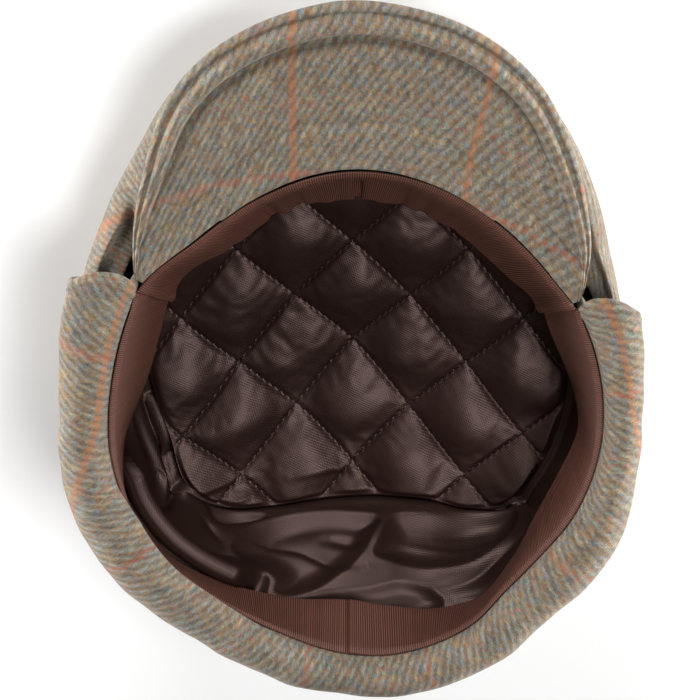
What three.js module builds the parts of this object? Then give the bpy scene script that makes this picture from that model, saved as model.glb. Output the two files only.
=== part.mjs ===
// A tweed flat cap with a turned-up ear flap, lying upside down on its crown.
//
// Millimetres, +Z up, the peak towards -Y. The cap is six sewn pieces: the crown, the peak, the
// ear flap that is turned up round the sides and back, the grosgrain sweatband, the plain satin
// side lining and the quilted satin panel in the top. All of them are laid out round one upright
// axis through the head opening, by bearing: 0 degrees is the front, 90 is +X, 180 is the back.

import * as THREE from 'three';
import { mergeVertices } from 'three/addons/utils/BufferGeometryUtils.js';

// ---- Driving dimensions ----

const AXIS_Y = 17;             // the upright axis through the middle of the head opening
const GAP = 0.6;               // clearance between one piece and the next
const LAP_GAP = 1.5;           // the same where the flap lies along the crown
const LINING_GAP = 1.5;        // the same round the side lining

const HEADLINE_Z = 68;         // height of the head opening's plane at y = 0
const HEADLINE_SLOPE = 0.267;  // its rise towards the back, where the cap is deepest

const CROWN_WALL = 2;
const FLAP_WALL = 3;
const SATIN_WALL = 1;
const BAND_WALL = 1.2;
const BAND_WIDTH = 27;
const BAND_BELLY = 0.05;       // how far the band bows out, as a share of its lean
const PANEL_WALL = 3;

const MOUTH_DROP = 4;          // the crown's raw edge stops this far below the headline

const PEAK_WALL = 3.8;
const PEAK_BACK_Z = 48.5;      // height of the peak where it joins the band, in the middle
const PEAK_BACK_Y = -74;
const PEAK_SLOPE = 0.135;      // fall towards the front edge
const PEAK_CURL = 6;           // rise of its sides, at a half width of PEAK_HALF_WIDTH
const PEAK_HALF_WIDTH = 80;
const PEAK_HEM = 6;            // the crown is sewn on this far behind the peak's edge

const CORNER_LEFT = 57;        // bearings of the peak's rear corners, where the flap begins
const CORNER_RIGHT = -63;
const PEAK_TUCK = 1.2;         // the peak itself ends this many degrees in front of them
const FLAP_TAPER = 10;         // the flap's ends fall back by this many degrees outside the crown
const FLAP_LEG = 9;            // the short inner leg of the turn-up, behind the sweatband
const FLAP_HUG = 0.63;         // how far down its fall the flap comes to lie on the crown
const FLAP_ROWS = 4;           // rows down that fall

const QUILT = { pitch: 44, rise: 3.2, x: -1, y: 22.3 };
const QUILT_BOW = { most: 16, width: 53, length: 45, spread: 0.13 };
const PANEL_FLOOR = 5.5;       // top of the quilted panel at the axis, between its puffs
const PANEL_DISH = 1.8;        // how late the panel curves up towards its edge
const PANEL_HEM = 0.03;        // the puffs flatten over this share of its reach, at the edge

const CORNER_BLEND = { before: 2.5, after: 3 };  // bearings over which peak gives way to flap
const FOOT_RING = 0.6;         // share of the crown's foot at which its flat top has a ring

const STEPS_ROUND = 60;
const STEPS_PEAK = 28;
const STEPS_FLAP = 60;

// ---- Section tables: one row for each bearing ----

// rim: reach of the headline from the axis. bandIn: how far the band's lower edge leans in.
const HEAD = table(['bearing', 'rim', 'bandIn'], [
  [0, 89.7, 19.7],
  [22, 86.5, 17.5],
  [40, 85, 17.3],
  [56, 89.2, 15],
  [64, 88, 14],
  [76, 87, 13],
  [87, 87.2, 11],
  [96, 87.8, 6.5],
  [104, 88, -0.8],
  [114, 88, -7.2],
  [128, 87.2, -9.2],
  [142, 84.8, -9.4],
  [154, 84, -7.2],
  [167, 85.4, -1.6],
  [178, 88, 3.7],
  [190, 90, 1.7],
  [200, 90, -5.2],
  [211, 89, -9],
  [222, 85.8, -7.2],
  [234, 86.2, -1.5],
  [246, 89, 2.8],
  [258, 90.8, 2.6],
  [268, 91.5, 7.3],
  [284, 91.3, 14],
  [297, 90.4, 15.2],
  [306, 88.6, 17],
  [324, 88.5, 19],
  [342, 89.7, 19.4],
]);

// edge: reach of the peak's outline.
const PEAK = table(['bearing', 'edge'], [
  [0, 151],
  [7, 149],
  [14, 146],
  [22, 140.6],
  [29, 132.7],
  [38, 117.5],
  [44, 109],
  [50, 100.8],
  [54, 95.3],
  [58, 90.2],
  [180, 90.2],
  [296, 90.8],
  [301, 98],
  [307, 107.2],
  [314, 116],
  [320, 124.2],
  [325, 131],
  [331, 138.8],
  [338, 144.8],
  [344, 148],
  [351, 150],
]);

// bulge, bulgeZ: the crown's widest line. foot: where it meets the ground.
// full: 1 is a round belly between the two, 0 is a straight slope.
const CROWN = table(['bearing', 'bulge', 'bulgeZ', 'foot', 'full'], [
  [0, 146, 32, 95, 0.55],
  [14, 141.5, 33, 93, 0.55],
  [22, 136.5, 34, 90, 0.6],
  [30, 129, 36, 86, 0.7],
  [38, 121.5, 38, 81, 0.8],
  [46, 115.5, 38, 76, 0.9],
  [56, 109.8, 38, 71, 1],
  [67, 106.4, 38, 67, 1],
  [90, 102, 41, 63, 1],
  [115, 102.5, 48, 61, 1],
  [138, 100.9, 58, 60, 1],
  [160, 97, 69, 44, 1],
  [183, 98, 72, 38, 1],
  [206, 103.6, 68, 47, 1],
  [225, 104.5, 58, 62, 1],
  [245, 102.5, 49, 63, 1],
  [262, 102.2, 43, 63, 1],
  [282, 103.2, 39, 65, 1],
  [296, 107, 38, 69, 1],
  [308, 113.8, 38, 75, 0.9],
  [319, 123, 38, 81, 0.8],
  [329, 132.5, 37, 87, 0.7],
  [338, 139.5, 35, 91, 0.6],
  [348, 144.5, 33, 94, 0.55],
]);

// width: thickness of the turned-up roll, outwards from the headline. crest: its height above
// the headline. fall: height of the flap's outside, from the headline down to its free edge.
const FLAP = table(['bearing', 'width', 'crest', 'fall'], [
  [0, 17, 7, 46],
  [57, 25, 5.5, 42],
  [66, 23, 6, 43],
  [77, 20, 6.5, 44],
  [97, 18.5, 7.5, 46],
  [115, 19, 8, 46],
  [130, 17.5, 8.5, 47],
  [145, 17.5, 8.5, 47],
  [165, 18.5, 8.5, 48],
  [188, 18, 8.5, 48],
  [210, 19, 8.5, 47],
  [225, 20.5, 8.5, 47],
  [237, 22, 8.5, 46],
  [247, 20, 8, 46],
  [258, 16, 7.5, 46],
  [274, 14.5, 7, 45],
  [283, 16, 6.5, 44],
  [290, 19, 6, 43],
  [297, 22, 5.5, 42],
]);

// panel, panelZ: reach and height of the quilted panel's edge.
// billow: how far the plain satin above it swells outwards, or inwards where it is negative.
const LINING = table(['bearing', 'panel', 'panelZ', 'billow'], [
  [0, 84, 11, 2],
  [35, 84, 11, 2],
  [60, 82, 11, 4],
  [90, 79, 14, 7],
  [108, 79, 19, 6],
  [120, 80.5, 24, 4],
  [132, 86.5, 28, 1],
  [144, 85.5, 28, -2],
  [156, 78, 25, -5],
  [168, 71, 23, -6],
  [180, 68.3, 22, -7],
  [192, 68.8, 23, -7],
  [204, 74, 25, -6],
  [213, 83.5, 28, -3],
  [222, 90.5, 30, 0],
  [234, 90.5, 26.5, 3],
  [246, 88.5, 21, 5],
  [258, 86, 17, 6],
  [270, 83, 14, 6],
  [300, 83, 11, 3],
  [330, 84, 11, 2],
]);

// The peak across its width: how far each row lies in from the edge, and the rise of its upper
// face and the depth of its lower one there. The seam allowance makes a raised band near the
// edge, with a groove of topstitching along it.
const PEAK_ROWS = [
  { fromEdge: 0, rise: -1.9, depth: 2.1 },
  { fromEdge: 1.2, rise: 0, depth: 3.6 },
  { fromEdge: 3.7, rise: 0.4, depth: 3.8 },
  { fromEdge: 6.5, rise: 1.5, depth: 3.8 },
  { fromEdge: 9, rise: 1.1, depth: 3.8 },
  { fromEdge: 11.5, rise: -0.7, depth: 3.8 },
  { fromEdge: 16, rise: 0.2, depth: 3.8 },
];
const PEAK_INNER_ROWS = 4;     // plain rows between the last of those and the headline
const PEAK_FULL_WIDTH = 42;    // where the peak is narrower than this, the rows close up

// The roll of the flap: how far across its width and up its crest each point lies, and how many
// degrees behind the corner the flap's rounded end cuts it.
const FLAP_ROLL = [
  { across: 0.02, up: 0, cut: 0 },
  { across: 0.14, up: 0.68, cut: -1.3 },
  { across: 0.38, up: 1, cut: -1.7 },
  { across: 0.66, up: 0.96, cut: 0 },
  { across: 0.9, up: 0.55, cut: 3 },
  { across: 1, up: -0.1, cut: 5.2 },
];

const LINING_ROWS = 5;
const PANEL_STEPS = 24;

// ---- Tables and curves ----

// A smooth closed curve through each named column, as a function of the bearing in degrees.
function table(names, rows) {
  const count = rows.length;
  const at = (index, column) => rows[(index + count) % count][column];
  const turn = (index) => at(index, 0) + 360 * Math.floor(index / count);
  const slope = (index, column) =>
    (at(index + 1, column) - at(index - 1, column)) / (turn(index + 1) - turn(index - 1));
  const columns = {};
  names.forEach((name, column) => {
    columns[name] = (bearing) => {
      const b = ((bearing % 360) + 360) % 360;
      let i = count - 1;
      while (at(i, 0) > b) i -= 1;
      const span = turn(i + 1) - turn(i);
      const t = (b - turn(i)) / span;
      const startPull = slope(i, column) * span * t * (1 - t) * (1 - t);
      const endPull = -slope(i + 1, column) * span * t * t * (1 - t);
      const blend = t * t * (3 - 2 * t);
      return at(i, column) * (1 - blend) + at(i + 1, column) * blend + startPull + endPull;
    };
  });
  return columns;
}

const { lerp, smoothstep, degToRad, radToDeg } = THREE.MathUtils;

// A point given by bearing, reach from the axis, and height.
function place(bearing, reach, z) {
  const angle = degToRad(bearing);
  return new THREE.Vector3(reach * Math.sin(angle), AXIS_Y - reach * Math.cos(angle), z);
}

function headlineZ(bearing, reach) {
  return HEADLINE_Z + HEADLINE_SLOPE * place(bearing, reach, 0).y;
}

// The peak's upper face: it falls to the front and curls up at the sides.
function peakZ(bearing, reach) {
  const { x, y } = place(bearing, reach, 0);
  const curl = PEAK_CURL * (x / PEAK_HALF_WIDTH) ** 2;
  return PEAK_BACK_Z + (y - PEAK_BACK_Y) * PEAK_SLOPE + curl;
}

// 0 in front of the peak's rear corners, 1 behind them.
function behindCorners(bearing) {
  const signed = bearing > 180 ? bearing - 360 : bearing;
  const corner = signed > 0 ? CORNER_LEFT : -CORNER_RIGHT;
  const { before, after } = CORNER_BLEND;
  return smoothstep(Math.abs(signed), corner - before, corner + after);
}

// A flat profile (reach r, height z) moved sideways by a distance, to its left as it runs.
function offset(profile, distance) {
  return profile.map((point, i) => {
    const before = profile[Math.max(i - 1, 0)];
    const after = profile[Math.min(i + 1, profile.length - 1)];
    const along = after.clone().sub(before).normalize();
    return new THREE.Vector2(point.x - along.y * distance, point.y + along.x * distance);
  });
}

// ---- Meshes ----

// A closed solid between two grids of points, facing[i][j] and backing[i][j]. The first index
// runs round by bearing, full circle with wrap; the facing side is the one that looks up, or into
// the hollow, where the second index runs down or inwards.
function solid(facing, backing, wrap) {
  const position = [];
  const face = (a, b, c, d) => {
    for (const corner of [a, b, c, a, c, d]) position.push(corner.x, corner.y, corner.z);
  };
  const count = facing.length;
  const last = facing[0].length - 1;
  for (let i = 0; i < (wrap ? count : count - 1); i += 1) {
    const k = (i + 1) % count;
    for (let j = 0; j < last; j += 1) {
      face(facing[i][j], facing[k][j], facing[k][j + 1], facing[i][j + 1]);
      face(backing[i][j], backing[i][j + 1], backing[k][j + 1], backing[k][j]);
    }
    face(facing[i][0], backing[i][0], backing[k][0], facing[k][0]);
    face(facing[i][last], facing[k][last], backing[k][last], backing[i][last]);
  }
  if (!wrap) {
    const end = count - 1;
    for (let j = 0; j < last; j += 1) {
      face(facing[0][j], facing[0][j + 1], backing[0][j + 1], backing[0][j]);
      face(facing[end][j], backing[end][j], backing[end][j + 1], facing[end][j + 1]);
    }
  }
  const soup = new THREE.BufferGeometry();
  soup.setAttribute('position', new THREE.Float32BufferAttribute(position, 3));
  const geometry = mergeVertices(soup, 1e-3);
  geometry.setIndex(withoutSlivers(Array.from(geometry.index.array)));
  geometry.computeVertexNormals();
  return geometry;
}

// Triangles that shrank to a line, where a grid runs into a single point, are left out.
function withoutSlivers(index) {
  const kept = [];
  for (let i = 0; i < index.length; i += 3) {
    const [a, b, c] = index.slice(i, i + 3);
    if (a !== b && b !== c && c !== a) kept.push(a, b, c);
  }
  return kept;
}

// The bearings of the sections round the whole cap.
function roundBearings() {
  return Array.from({ length: STEPS_ROUND }, (_, i) => (360 * i) / STEPS_ROUND);
}

function piece(name, geometry, color, roughness) {
  const material = new THREE.MeshStandardMaterial({ color, roughness, metalness: 0 });
  const mesh = new THREE.Mesh(geometry, material);
  mesh.name = name;
  return mesh;
}

// Where the sweatband leans outwards, it pushes the foot of the flap's inner leg out this far.
function legFlare(bearing) {
  return (Math.max(0, -HEAD.bandIn(bearing)) * FLAP_LEG) / BAND_WIDTH;
}

// ---- Crown: a hollow bowl of tweed ----

// Its mouth runs under the peak's edge in front, and along the headline inside the flap's turn-up.
function crownMouth(bearing) {
  const behind = HEAD.rim(bearing) + legFlare(bearing) + FLAP_WALL + LAP_GAP + CROWN_WALL;
  const reach = Math.max(PEAK.edge(bearing) - PEAK_HEM, behind);
  const underPeak = peakZ(bearing, reach) - PEAK_WALL - GAP;
  const atHeadline = headlineZ(bearing, HEAD.rim(bearing)) - MOUTH_DROP;
  return new THREE.Vector2(reach, lerp(underPeak, atHeadline, behindCorners(bearing)));
}

// The outside of the crown at one bearing, from its mouth over the widest line to the foot.
function crownProfile(bearing) {
  const mouth = crownMouth(bearing);
  const bulge = new THREE.Vector2(CROWN.bulge(bearing), CROWN.bulgeZ(bearing));
  const foot = CROWN.foot(bearing);
  const profile = [];
  for (const t of [0, 0.3, 0.6]) {
    const swell = Math.sin((t * Math.PI) / 2);
    profile.push(new THREE.Vector2(lerp(mouth.x, bulge.x, swell), lerp(mouth.y, bulge.y, t)));
  }
  for (const t of [0, 0.2, 0.4, 0.6, 0.8, 1]) {
    const angle = (t * Math.PI) / 2;
    const full = CROWN.full(bearing);
    const reach = lerp(lerp(bulge.x, foot, t), lerp(foot, bulge.x, Math.cos(angle)), full);
    const z = bulge.y * (1 - lerp(t * (2 - t), Math.sin(angle), full));
    profile.push(new THREE.Vector2(reach, z));
  }
  return profile;
}

// Reach of the crown's outside at a height above its foot.
function crownReach(bearing, z) {
  const profile = crownProfile(bearing);
  const below = profile.findIndex((point, i) => i > 0 && point.y <= z);
  const high = profile[Math.max(below - 1, 0)];
  const low = profile[Math.max(below, 1)];
  const t = THREE.MathUtils.clamp((high.y - z) / (high.y - low.y), 0, 1);
  return lerp(high.x, low.x, t);
}

function crown() {
  const outer = [];
  const inner = [];
  for (const bearing of roundBearings()) {
    const outside = crownProfile(bearing);
    const foot = outside[outside.length - 1];
    const flat = [FOOT_RING, 0].map((share) => new THREE.Vector2(foot.x * share, 0));
    const inside = offset([...outside, ...flat], -CROWN_WALL);
    inside[inside.length - 1].set(0, CROWN_WALL);
    outer.push([...outside, ...flat].map((p) => place(bearing, p.x, p.y)));
    inner.push(inside.map((p) => place(bearing, p.x, p.y)));
  }
  return piece('crown', solid(inner, outer, true), 0x8c8273, 0.95);
}

// ---- Peak: a stiff curved plate covered in tweed ----

function peak() {
  const upper = [];
  const lower = [];
  for (let i = 0; i <= STEPS_PEAK; i += 1) {
    const bearing = lerp(CORNER_RIGHT + PEAK_TUCK, CORNER_LEFT - PEAK_TUCK, i / STEPS_PEAK);
    const edge = PEAK.edge(bearing);
    const width = edge - HEAD.rim(bearing) - GAP;
    const squeeze = Math.min(1, width / PEAK_FULL_WIDTH);
    const rows = PEAK_ROWS.map((row) => ({ ...row, fromEdge: row.fromEdge * squeeze }));
    const plainFrom = rows[rows.length - 1].fromEdge;
    for (let j = 1; j <= PEAK_INNER_ROWS; j += 1) {
      const fromEdge = lerp(plainFrom, width, j / PEAK_INNER_ROWS);
      rows.push({ fromEdge, rise: 0, depth: PEAK_WALL });
    }
    const face = (lift) => rows.map((row) => {
      const reach = edge - row.fromEdge;
      return place(bearing, reach, peakZ(bearing, reach) + lift(row));
    });
    upper.push(face((row) => row.rise));
    lower.push(face((row) => -row.depth));
  }
  return piece('peak', solid(upper, lower, false), 0x968c7d, 0.95);
}

// ---- Ear flap: a doubled band of tweed, sewn at the headline and turned up outside ----

// Its section at one bearing: up the short inner leg, over the roll and down outside the crown.
function flapProfile(bearing) {
  const rim = HEAD.rim(bearing) + GAP;
  const top = headlineZ(bearing, HEAD.rim(bearing));
  const width = FLAP.width(bearing);
  const crest = FLAP.crest(bearing);
  const profile = FLAP_ROLL.map(
    ({ across, up }) => new THREE.Vector2(rim + across * width, top + up * crest),
  );
  profile.unshift(new THREE.Vector2(rim + legFlare(bearing), top - FLAP_LEG));
  for (let j = 1; j <= FLAP_ROWS; j += 1) {
    const share = j / FLAP_ROWS;
    const z = top - FLAP.fall(bearing) * share;
    const onCrown = crownReach(bearing, z) + LAP_GAP + FLAP_WALL;
    const hanging = lerp(rim + width, onCrown, Math.min(1, share / FLAP_HUG));
    profile.push(new THREE.Vector2(Math.max(onCrown, hanging), z));
  }
  return profile;
}

function earFlap() {
  const outer = [];
  const inner = [];
  const cuts = [0, ...FLAP_ROLL.map(({ cut }) => cut)];
  const rollCut = cuts[cuts.length - 1];
  for (let j = 1; j <= FLAP_ROWS; j += 1) cuts.push(rollCut + (FLAP_TAPER * j) / FLAP_ROWS);
  for (let i = 0; i <= STEPS_FLAP; i += 1) {
    const along = i / STEPS_FLAP;
    const straight = lerp(CORNER_LEFT, CORNER_RIGHT + 360, along);
    const outerRow = [];
    const innerRow = [];
    cuts.forEach((cut, j) => {
      const bearing = straight + cut * (1 - 2 * along);
      const profile = flapProfile(bearing);
      const hidden = offset(profile, -FLAP_WALL);
      outerRow.push(place(bearing, profile[j].x, profile[j].y));
      innerRow.push(place(bearing, hidden[j].x, hidden[j].y));
    });
    outer.push(outerRow);
    inner.push(innerRow);
  }
  return piece('ear_flap', solid(inner, outer, false), 0x9a9182, 0.95);
}

// ---- Sweatband: a ribbed ribbon sewn in round the headline, leaning into the hollow ----

// Points down the band's outer side, from the headline to its free lower edge.
function bandProfile(bearing) {
  const rim = HEAD.rim(bearing);
  const top = headlineZ(bearing, rim);
  const lean = HEAD.bandIn(bearing);
  const drop = Math.sqrt(BAND_WIDTH ** 2 - lean ** 2);
  return [0, 0.35, 0.7, 1].map((share) => {
    const belly = BAND_BELLY * lean * Math.sin(share * Math.PI);
    return new THREE.Vector2(rim - lean * share + belly, top - drop * share);
  });
}

function sweatband() {
  const outer = [];
  const inner = [];
  for (const bearing of roundBearings()) {
    const outside = bandProfile(bearing);
    const inside = offset(outside, -BAND_WALL);
    outer.push(outside.map((p) => place(bearing, p.x, p.y)));
    inner.push(inside.map((p) => place(bearing, p.x, p.y)));
  }
  return piece('sweatband', solid(inner, outer, true), 0x5a3a2f, 0.8);
}

// ---- Side lining: plain satin from behind the sweatband down to the quilted panel ----

function sideLining() {
  const outer = [];
  const inner = [];
  for (const bearing of roundBearings()) {
    const clear = LINING_GAP + SATIN_WALL;
    const [, , tuck, hem] = offset(bandProfile(bearing), clear);
    const edge = new THREE.Vector2(LINING.panel(bearing) + clear, LINING.panelZ(bearing));
    const outside = [tuck];
    for (let j = 0; j <= LINING_ROWS; j += 1) {
      const t = j / LINING_ROWS;
      const swell = LINING.billow(bearing) * Math.sin(Math.PI * t);
      outside.push(new THREE.Vector2(lerp(hem.x, edge.x, t) + swell, lerp(hem.y, edge.y, t)));
    }
    const inside = offset(outside, -SATIN_WALL);
    outer.push(outside.map((p) => place(bearing, p.x, p.y)));
    inner.push(inside.map((p) => place(bearing, p.x, p.y)));
  }
  return piece('lining_side', solid(inner, outer, true), 0x3c2f2c, 0.45);
}

// ---- Top lining: a padded satin panel, quilted in diamonds ----

// How far behind the middle of the quilting a point lies on the flat cloth. Laid into the
// crown, the cloth's lines bow back at both sides and lie further apart behind the middle.
function onFlatCloth(x, y) {
  const { most, width, length, spread } = QUILT_BOW;
  const sideways = most * (1 - Math.exp(-((x / width) ** 2)));
  let flat = y - QUILT.y;
  for (let i = 0; i < 4; i += 1) {
    const bow = sideways * Math.exp(-((flat / length) ** 2));
    flat = y - QUILT.y - bow - spread * Math.max(0, flat);
  }
  return flat;
}

// Height of the puffs between two crossing sets of diagonal stitch lines.
function quiltRise(x, y) {
  const u = (x - QUILT.x) / QUILT.pitch;
  const v = onFlatCloth(x, y) / QUILT.pitch;
  const puff = Math.abs(Math.sin(Math.PI * (u + v)) * Math.sin(Math.PI * (u - v)));
  return QUILT.rise * Math.sqrt(puff);
}

function topLining() {
  const upper = [];
  const lower = [];
  for (let i = 0; i <= PANEL_STEPS; i += 1) {
    const upperRow = [];
    const lowerRow = [];
    for (let j = 0; j <= PANEL_STEPS; j += 1) {
      const u = (2 * i) / PANEL_STEPS - 1;
      const v = (2 * j) / PANEL_STEPS - 1;
      const across = u * Math.sqrt(1 - (v * v) / 2);
      const back = v * Math.sqrt(1 - (u * u) / 2);
      const share = Math.hypot(across, back);
      const bearing = radToDeg(Math.atan2(across, -back));
      const rise = LINING.panelZ(bearing) - PANEL_FLOOR;
      const z = PANEL_FLOOR + rise * share ** PANEL_DISH;
      const point = place(bearing, LINING.panel(bearing) * share, z);
      const fade = smoothstep(1 - share, 0, PANEL_HEM);
      upperRow.push(point.clone().setZ(z + quiltRise(point.x, point.y) * fade));
      lowerRow.push(point.clone().setZ(z - PANEL_WALL));
    }
    upper.push(upperRow);
    lower.push(lowerRow);
  }
  return piece('lining_top', solid(upper, lower, false), 0x3a2d2b, 0.4);
}

// ---- The whole cap, moved so that it stands over the middle of its own footprint ----

const cap = new THREE.Group();
cap.add(crown(), peak(), earFlap(), sweatband(), sideLining(), topLining());
cap.updateMatrixWorld(true);
const box = new THREE.Box3().setFromObject(cap, true);
const middle = box.getCenter(new THREE.Vector3());
cap.position.set(-middle.x, -middle.y, -box.min.z);

export default cap;
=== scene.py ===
"""The flat cap's looks: detailed cloth pieces, materials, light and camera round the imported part.

Sizes are in millimetres in the part source's own coordinates, as there, and move to the frame in
metres at the end. Bearings are in degrees round the head opening's axis: 0 is the front, where
the peak is, 90 is +X and 180 is the back.
"""

import math
from types import SimpleNamespace

import bmesh
import bpy
import numpy as np
from mathutils import Matrix, Vector


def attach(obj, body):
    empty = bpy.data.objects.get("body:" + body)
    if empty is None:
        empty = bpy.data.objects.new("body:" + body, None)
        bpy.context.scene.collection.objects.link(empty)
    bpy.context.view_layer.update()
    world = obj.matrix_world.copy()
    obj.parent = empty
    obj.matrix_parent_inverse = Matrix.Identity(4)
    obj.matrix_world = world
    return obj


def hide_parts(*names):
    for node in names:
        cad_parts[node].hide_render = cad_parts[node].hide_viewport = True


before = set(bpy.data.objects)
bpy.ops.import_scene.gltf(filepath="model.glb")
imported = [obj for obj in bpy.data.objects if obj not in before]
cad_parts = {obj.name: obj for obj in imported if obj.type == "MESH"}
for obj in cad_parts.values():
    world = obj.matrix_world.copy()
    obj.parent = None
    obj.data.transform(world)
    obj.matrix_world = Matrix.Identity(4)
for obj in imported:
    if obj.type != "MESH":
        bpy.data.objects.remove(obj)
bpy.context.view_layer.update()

MM = 0.001

# ---- The cap's dimensions, in millimetres, as in the part's source ----

AXIS_Y = 17.0                  # the upright axis through the middle of the head opening
SHIFT = (0.0071, 4.6460, 0.0)  # from there to the frame, whose origin is under the whole cap

GAP = 0.6
LAP_GAP = 1.5
LINING_GAP = 1.5

HEADLINE_Z = 68.0
HEADLINE_SLOPE = 0.267

CROWN_WALL, CROWN_EDGE = 2.0, 1.2   # each wall, and the radius that its edge is rounded to
FLAP_WALL, FLAP_EDGE = 3.0, 1.5
SATIN_WALL, SATIN_EDGE = 1.0, 0.5
BAND_WALL, BAND_EDGE = 1.2, 0.7
BAND_WIDTH = 27.0
BAND_BELLY = 0.05
PANEL_WALL = 3.0
MOUTH_DROP = 4.0

PEAK_WALL, PEAK_EDGE = 3.8, 1.4
PEAK_BACK_Z = 48.5
PEAK_BACK_Y = -74.0
PEAK_SLOPE = 0.135
PEAK_CURL = 6.0
PEAK_HALF_WIDTH = 80.0
PEAK_HEM = 6.0
PEAK_FULL_WIDTH = 42.0         # where it is narrower, its edge's relief narrows with it

CORNER_LEFT = 57.0
CORNER_RIGHT = -63.0
PEAK_TUCK = 1.2
FLAP_TAPER = 10.0
FLAP_LEG = 9.0
FLAP_HUG = 0.63
FLAP_ROWS = 4

PANEL_FLOOR = 5.5
PANEL_DISH = 1.8


def table(names, rows):
    """A smooth closed curve through each named column, as a function of the bearing in degrees."""
    rows = np.array(rows, float)
    turn = np.concatenate([rows[-1:, 0] - 360, rows[:, 0], rows[:2, 0] + 360])
    columns = {}
    for k, name in enumerate(names[1:], 1):
        value = np.concatenate([rows[-1:, k], rows[:, k], rows[:2, k]])
        columns[name] = curve(turn, value)
    return SimpleNamespace(**columns)


def curve(turn, value):
    def at(bearing):
        b = np.mod(bearing, 360.0)
        i = np.clip(np.searchsorted(turn, b, side="right") - 1, 1, len(turn) - 3)
        span = turn[i + 1] - turn[i]
        t = (b - turn[i]) / span
        start = (value[i + 1] - value[i - 1]) / (turn[i + 1] - turn[i - 1])
        end = (value[i + 2] - value[i]) / (turn[i + 2] - turn[i])
        pull = start * span * t * (1 - t) ** 2 - end * span * t * t * (1 - t)
        blend = t * t * (3 - 2 * t)
        return value[i] * (1 - blend) + value[i + 1] * blend + pull
    return at


HEAD = table(["bearing", "rim", "lean"], [
    (0, 89.7, 19.7), (22, 86.5, 17.5), (40, 85, 17.3), (56, 89.2, 15), (64, 88, 14),
    (76, 87, 13), (87, 87.2, 11), (96, 87.8, 6.5), (104, 88, -0.8), (114, 88, -7.2),
    (128, 87.2, -9.2), (142, 84.8, -9.4), (154, 84, -7.2), (167, 85.4, -1.6), (178, 88, 3.7),
    (190, 90, 1.7), (200, 90, -5.2), (211, 89, -9), (222, 85.8, -7.2), (234, 86.2, -1.5),
    (246, 89, 2.8), (258, 90.8, 2.6), (268, 91.5, 7.3), (284, 91.3, 14), (297, 90.4, 15.2),
    (306, 88.6, 17), (324, 88.5, 19), (342, 89.7, 19.4)])

PEAK = table(["bearing", "edge"], [
    (0, 151), (7, 149), (14, 146), (22, 140.6), (29, 132.7), (38, 117.5), (44, 109),
    (50, 100.8), (54, 95.3), (58, 90.2), (180, 90.2), (296, 90.8), (301, 98), (307, 107.2),
    (314, 116), (320, 124.2), (325, 131), (331, 138.8), (338, 144.8), (344, 148), (351, 150)])

CROWN = table(["bearing", "bulge", "bulge_z", "foot", "full"], [
    (0, 146, 32, 95, 0.55), (14, 141.5, 33, 93, 0.55), (22, 136.5, 34, 90, 0.6),
    (30, 129, 36, 86, 0.7), (38, 121.5, 38, 81, 0.8), (46, 115.5, 38, 76, 0.9),
    (56, 109.8, 38, 71, 1), (67, 106.4, 38, 67, 1), (90, 102, 41, 63, 1),
    (115, 102.5, 48, 61, 1), (138, 100.9, 58, 60, 1), (160, 97, 69, 44, 1),
    (183, 98, 72, 38, 1), (206, 103.6, 68, 47, 1), (225, 104.5, 58, 62, 1),
    (245, 102.5, 49, 63, 1), (262, 102.2, 43, 63, 1), (282, 103.2, 39, 65, 1),
    (296, 107, 38, 69, 1), (308, 113.8, 38, 75, 0.9), (319, 123, 38, 81, 0.8),
    (329, 132.5, 37, 87, 0.7), (338, 139.5, 35, 91, 0.6), (348, 144.5, 33, 94, 0.55)])

FLAP = table(["bearing", "width", "crest", "fall"], [
    (0, 17, 7, 46), (57, 25, 5.5, 42), (66, 23, 6, 43), (77, 20, 6.5, 44),
    (97, 18.5, 7.5, 46), (115, 19, 8, 46), (130, 17.5, 8.5, 47), (145, 17.5, 8.5, 47),
    (165, 18.5, 8.5, 48), (188, 18, 8.5, 48), (210, 19, 8.5, 47), (225, 20.5, 8.5, 47),
    (237, 22, 8.5, 46), (247, 20, 8, 46), (258, 16, 7.5, 46), (274, 14.5, 7, 45),
    (283, 16, 6.5, 44), (290, 19, 6, 43), (297, 22, 5.5, 42)])

LINING = table(["bearing", "panel", "panel_z", "billow"], [
    (0, 84, 11, 2), (35, 84, 11, 2), (60, 82, 11, 4), (90, 79, 14, 7), (108, 79, 19, 6),
    (120, 80.5, 24, 4), (132, 86.5, 28, 1), (144, 85.5, 28, -2), (156, 78, 25, -5),
    (168, 71, 23, -6), (180, 68.3, 22, -7), (192, 68.8, 23, -7), (204, 74, 25, -6),
    (213, 83.5, 28, -3), (222, 90.5, 30, 0), (234, 90.5, 26.5, 3), (246, 88.5, 21, 5),
    (258, 86, 17, 6), (270, 83, 14, 6), (300, 83, 11, 3), (330, 84, 11, 2)])

# The roll of the flap: across its width, up its crest, degrees that its end lies behind the corner.
FLAP_ROLL = [(0.02, 0, 0), (0.14, 0.68, -1.3), (0.38, 1, -1.7), (0.66, 0.96, 0), (0.9, 0.55, 3),
             (1, -0.1, 5.2)]


def lerp(a, b, t):
    return a + (b - a) * t


def smoothstep(x, low, high):
    t = np.clip((x - low) / (high - low), 0, 1)
    return t * t * (3 - 2 * t)


def between(x, rise_from, rise_to, fall_from, fall_to):
    """1 between two places, rising softly before and falling softly after."""
    return smoothstep(x, rise_from, rise_to) * (1 - smoothstep(x, fall_from, fall_to))


def bell(x, width):
    return np.exp(-(x / width) ** 2)


def quarter(share):
    """A quarter of a sine wave: it rises from 0 and levels off at 1."""
    return np.sin(np.clip(share, 0, 1) * np.pi / 2)


def signed(bearing, centre=0.0):
    """Degrees from a centre, from -180 to 180."""
    return np.mod(bearing - centre + 180.0, 360.0) - 180.0


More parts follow.
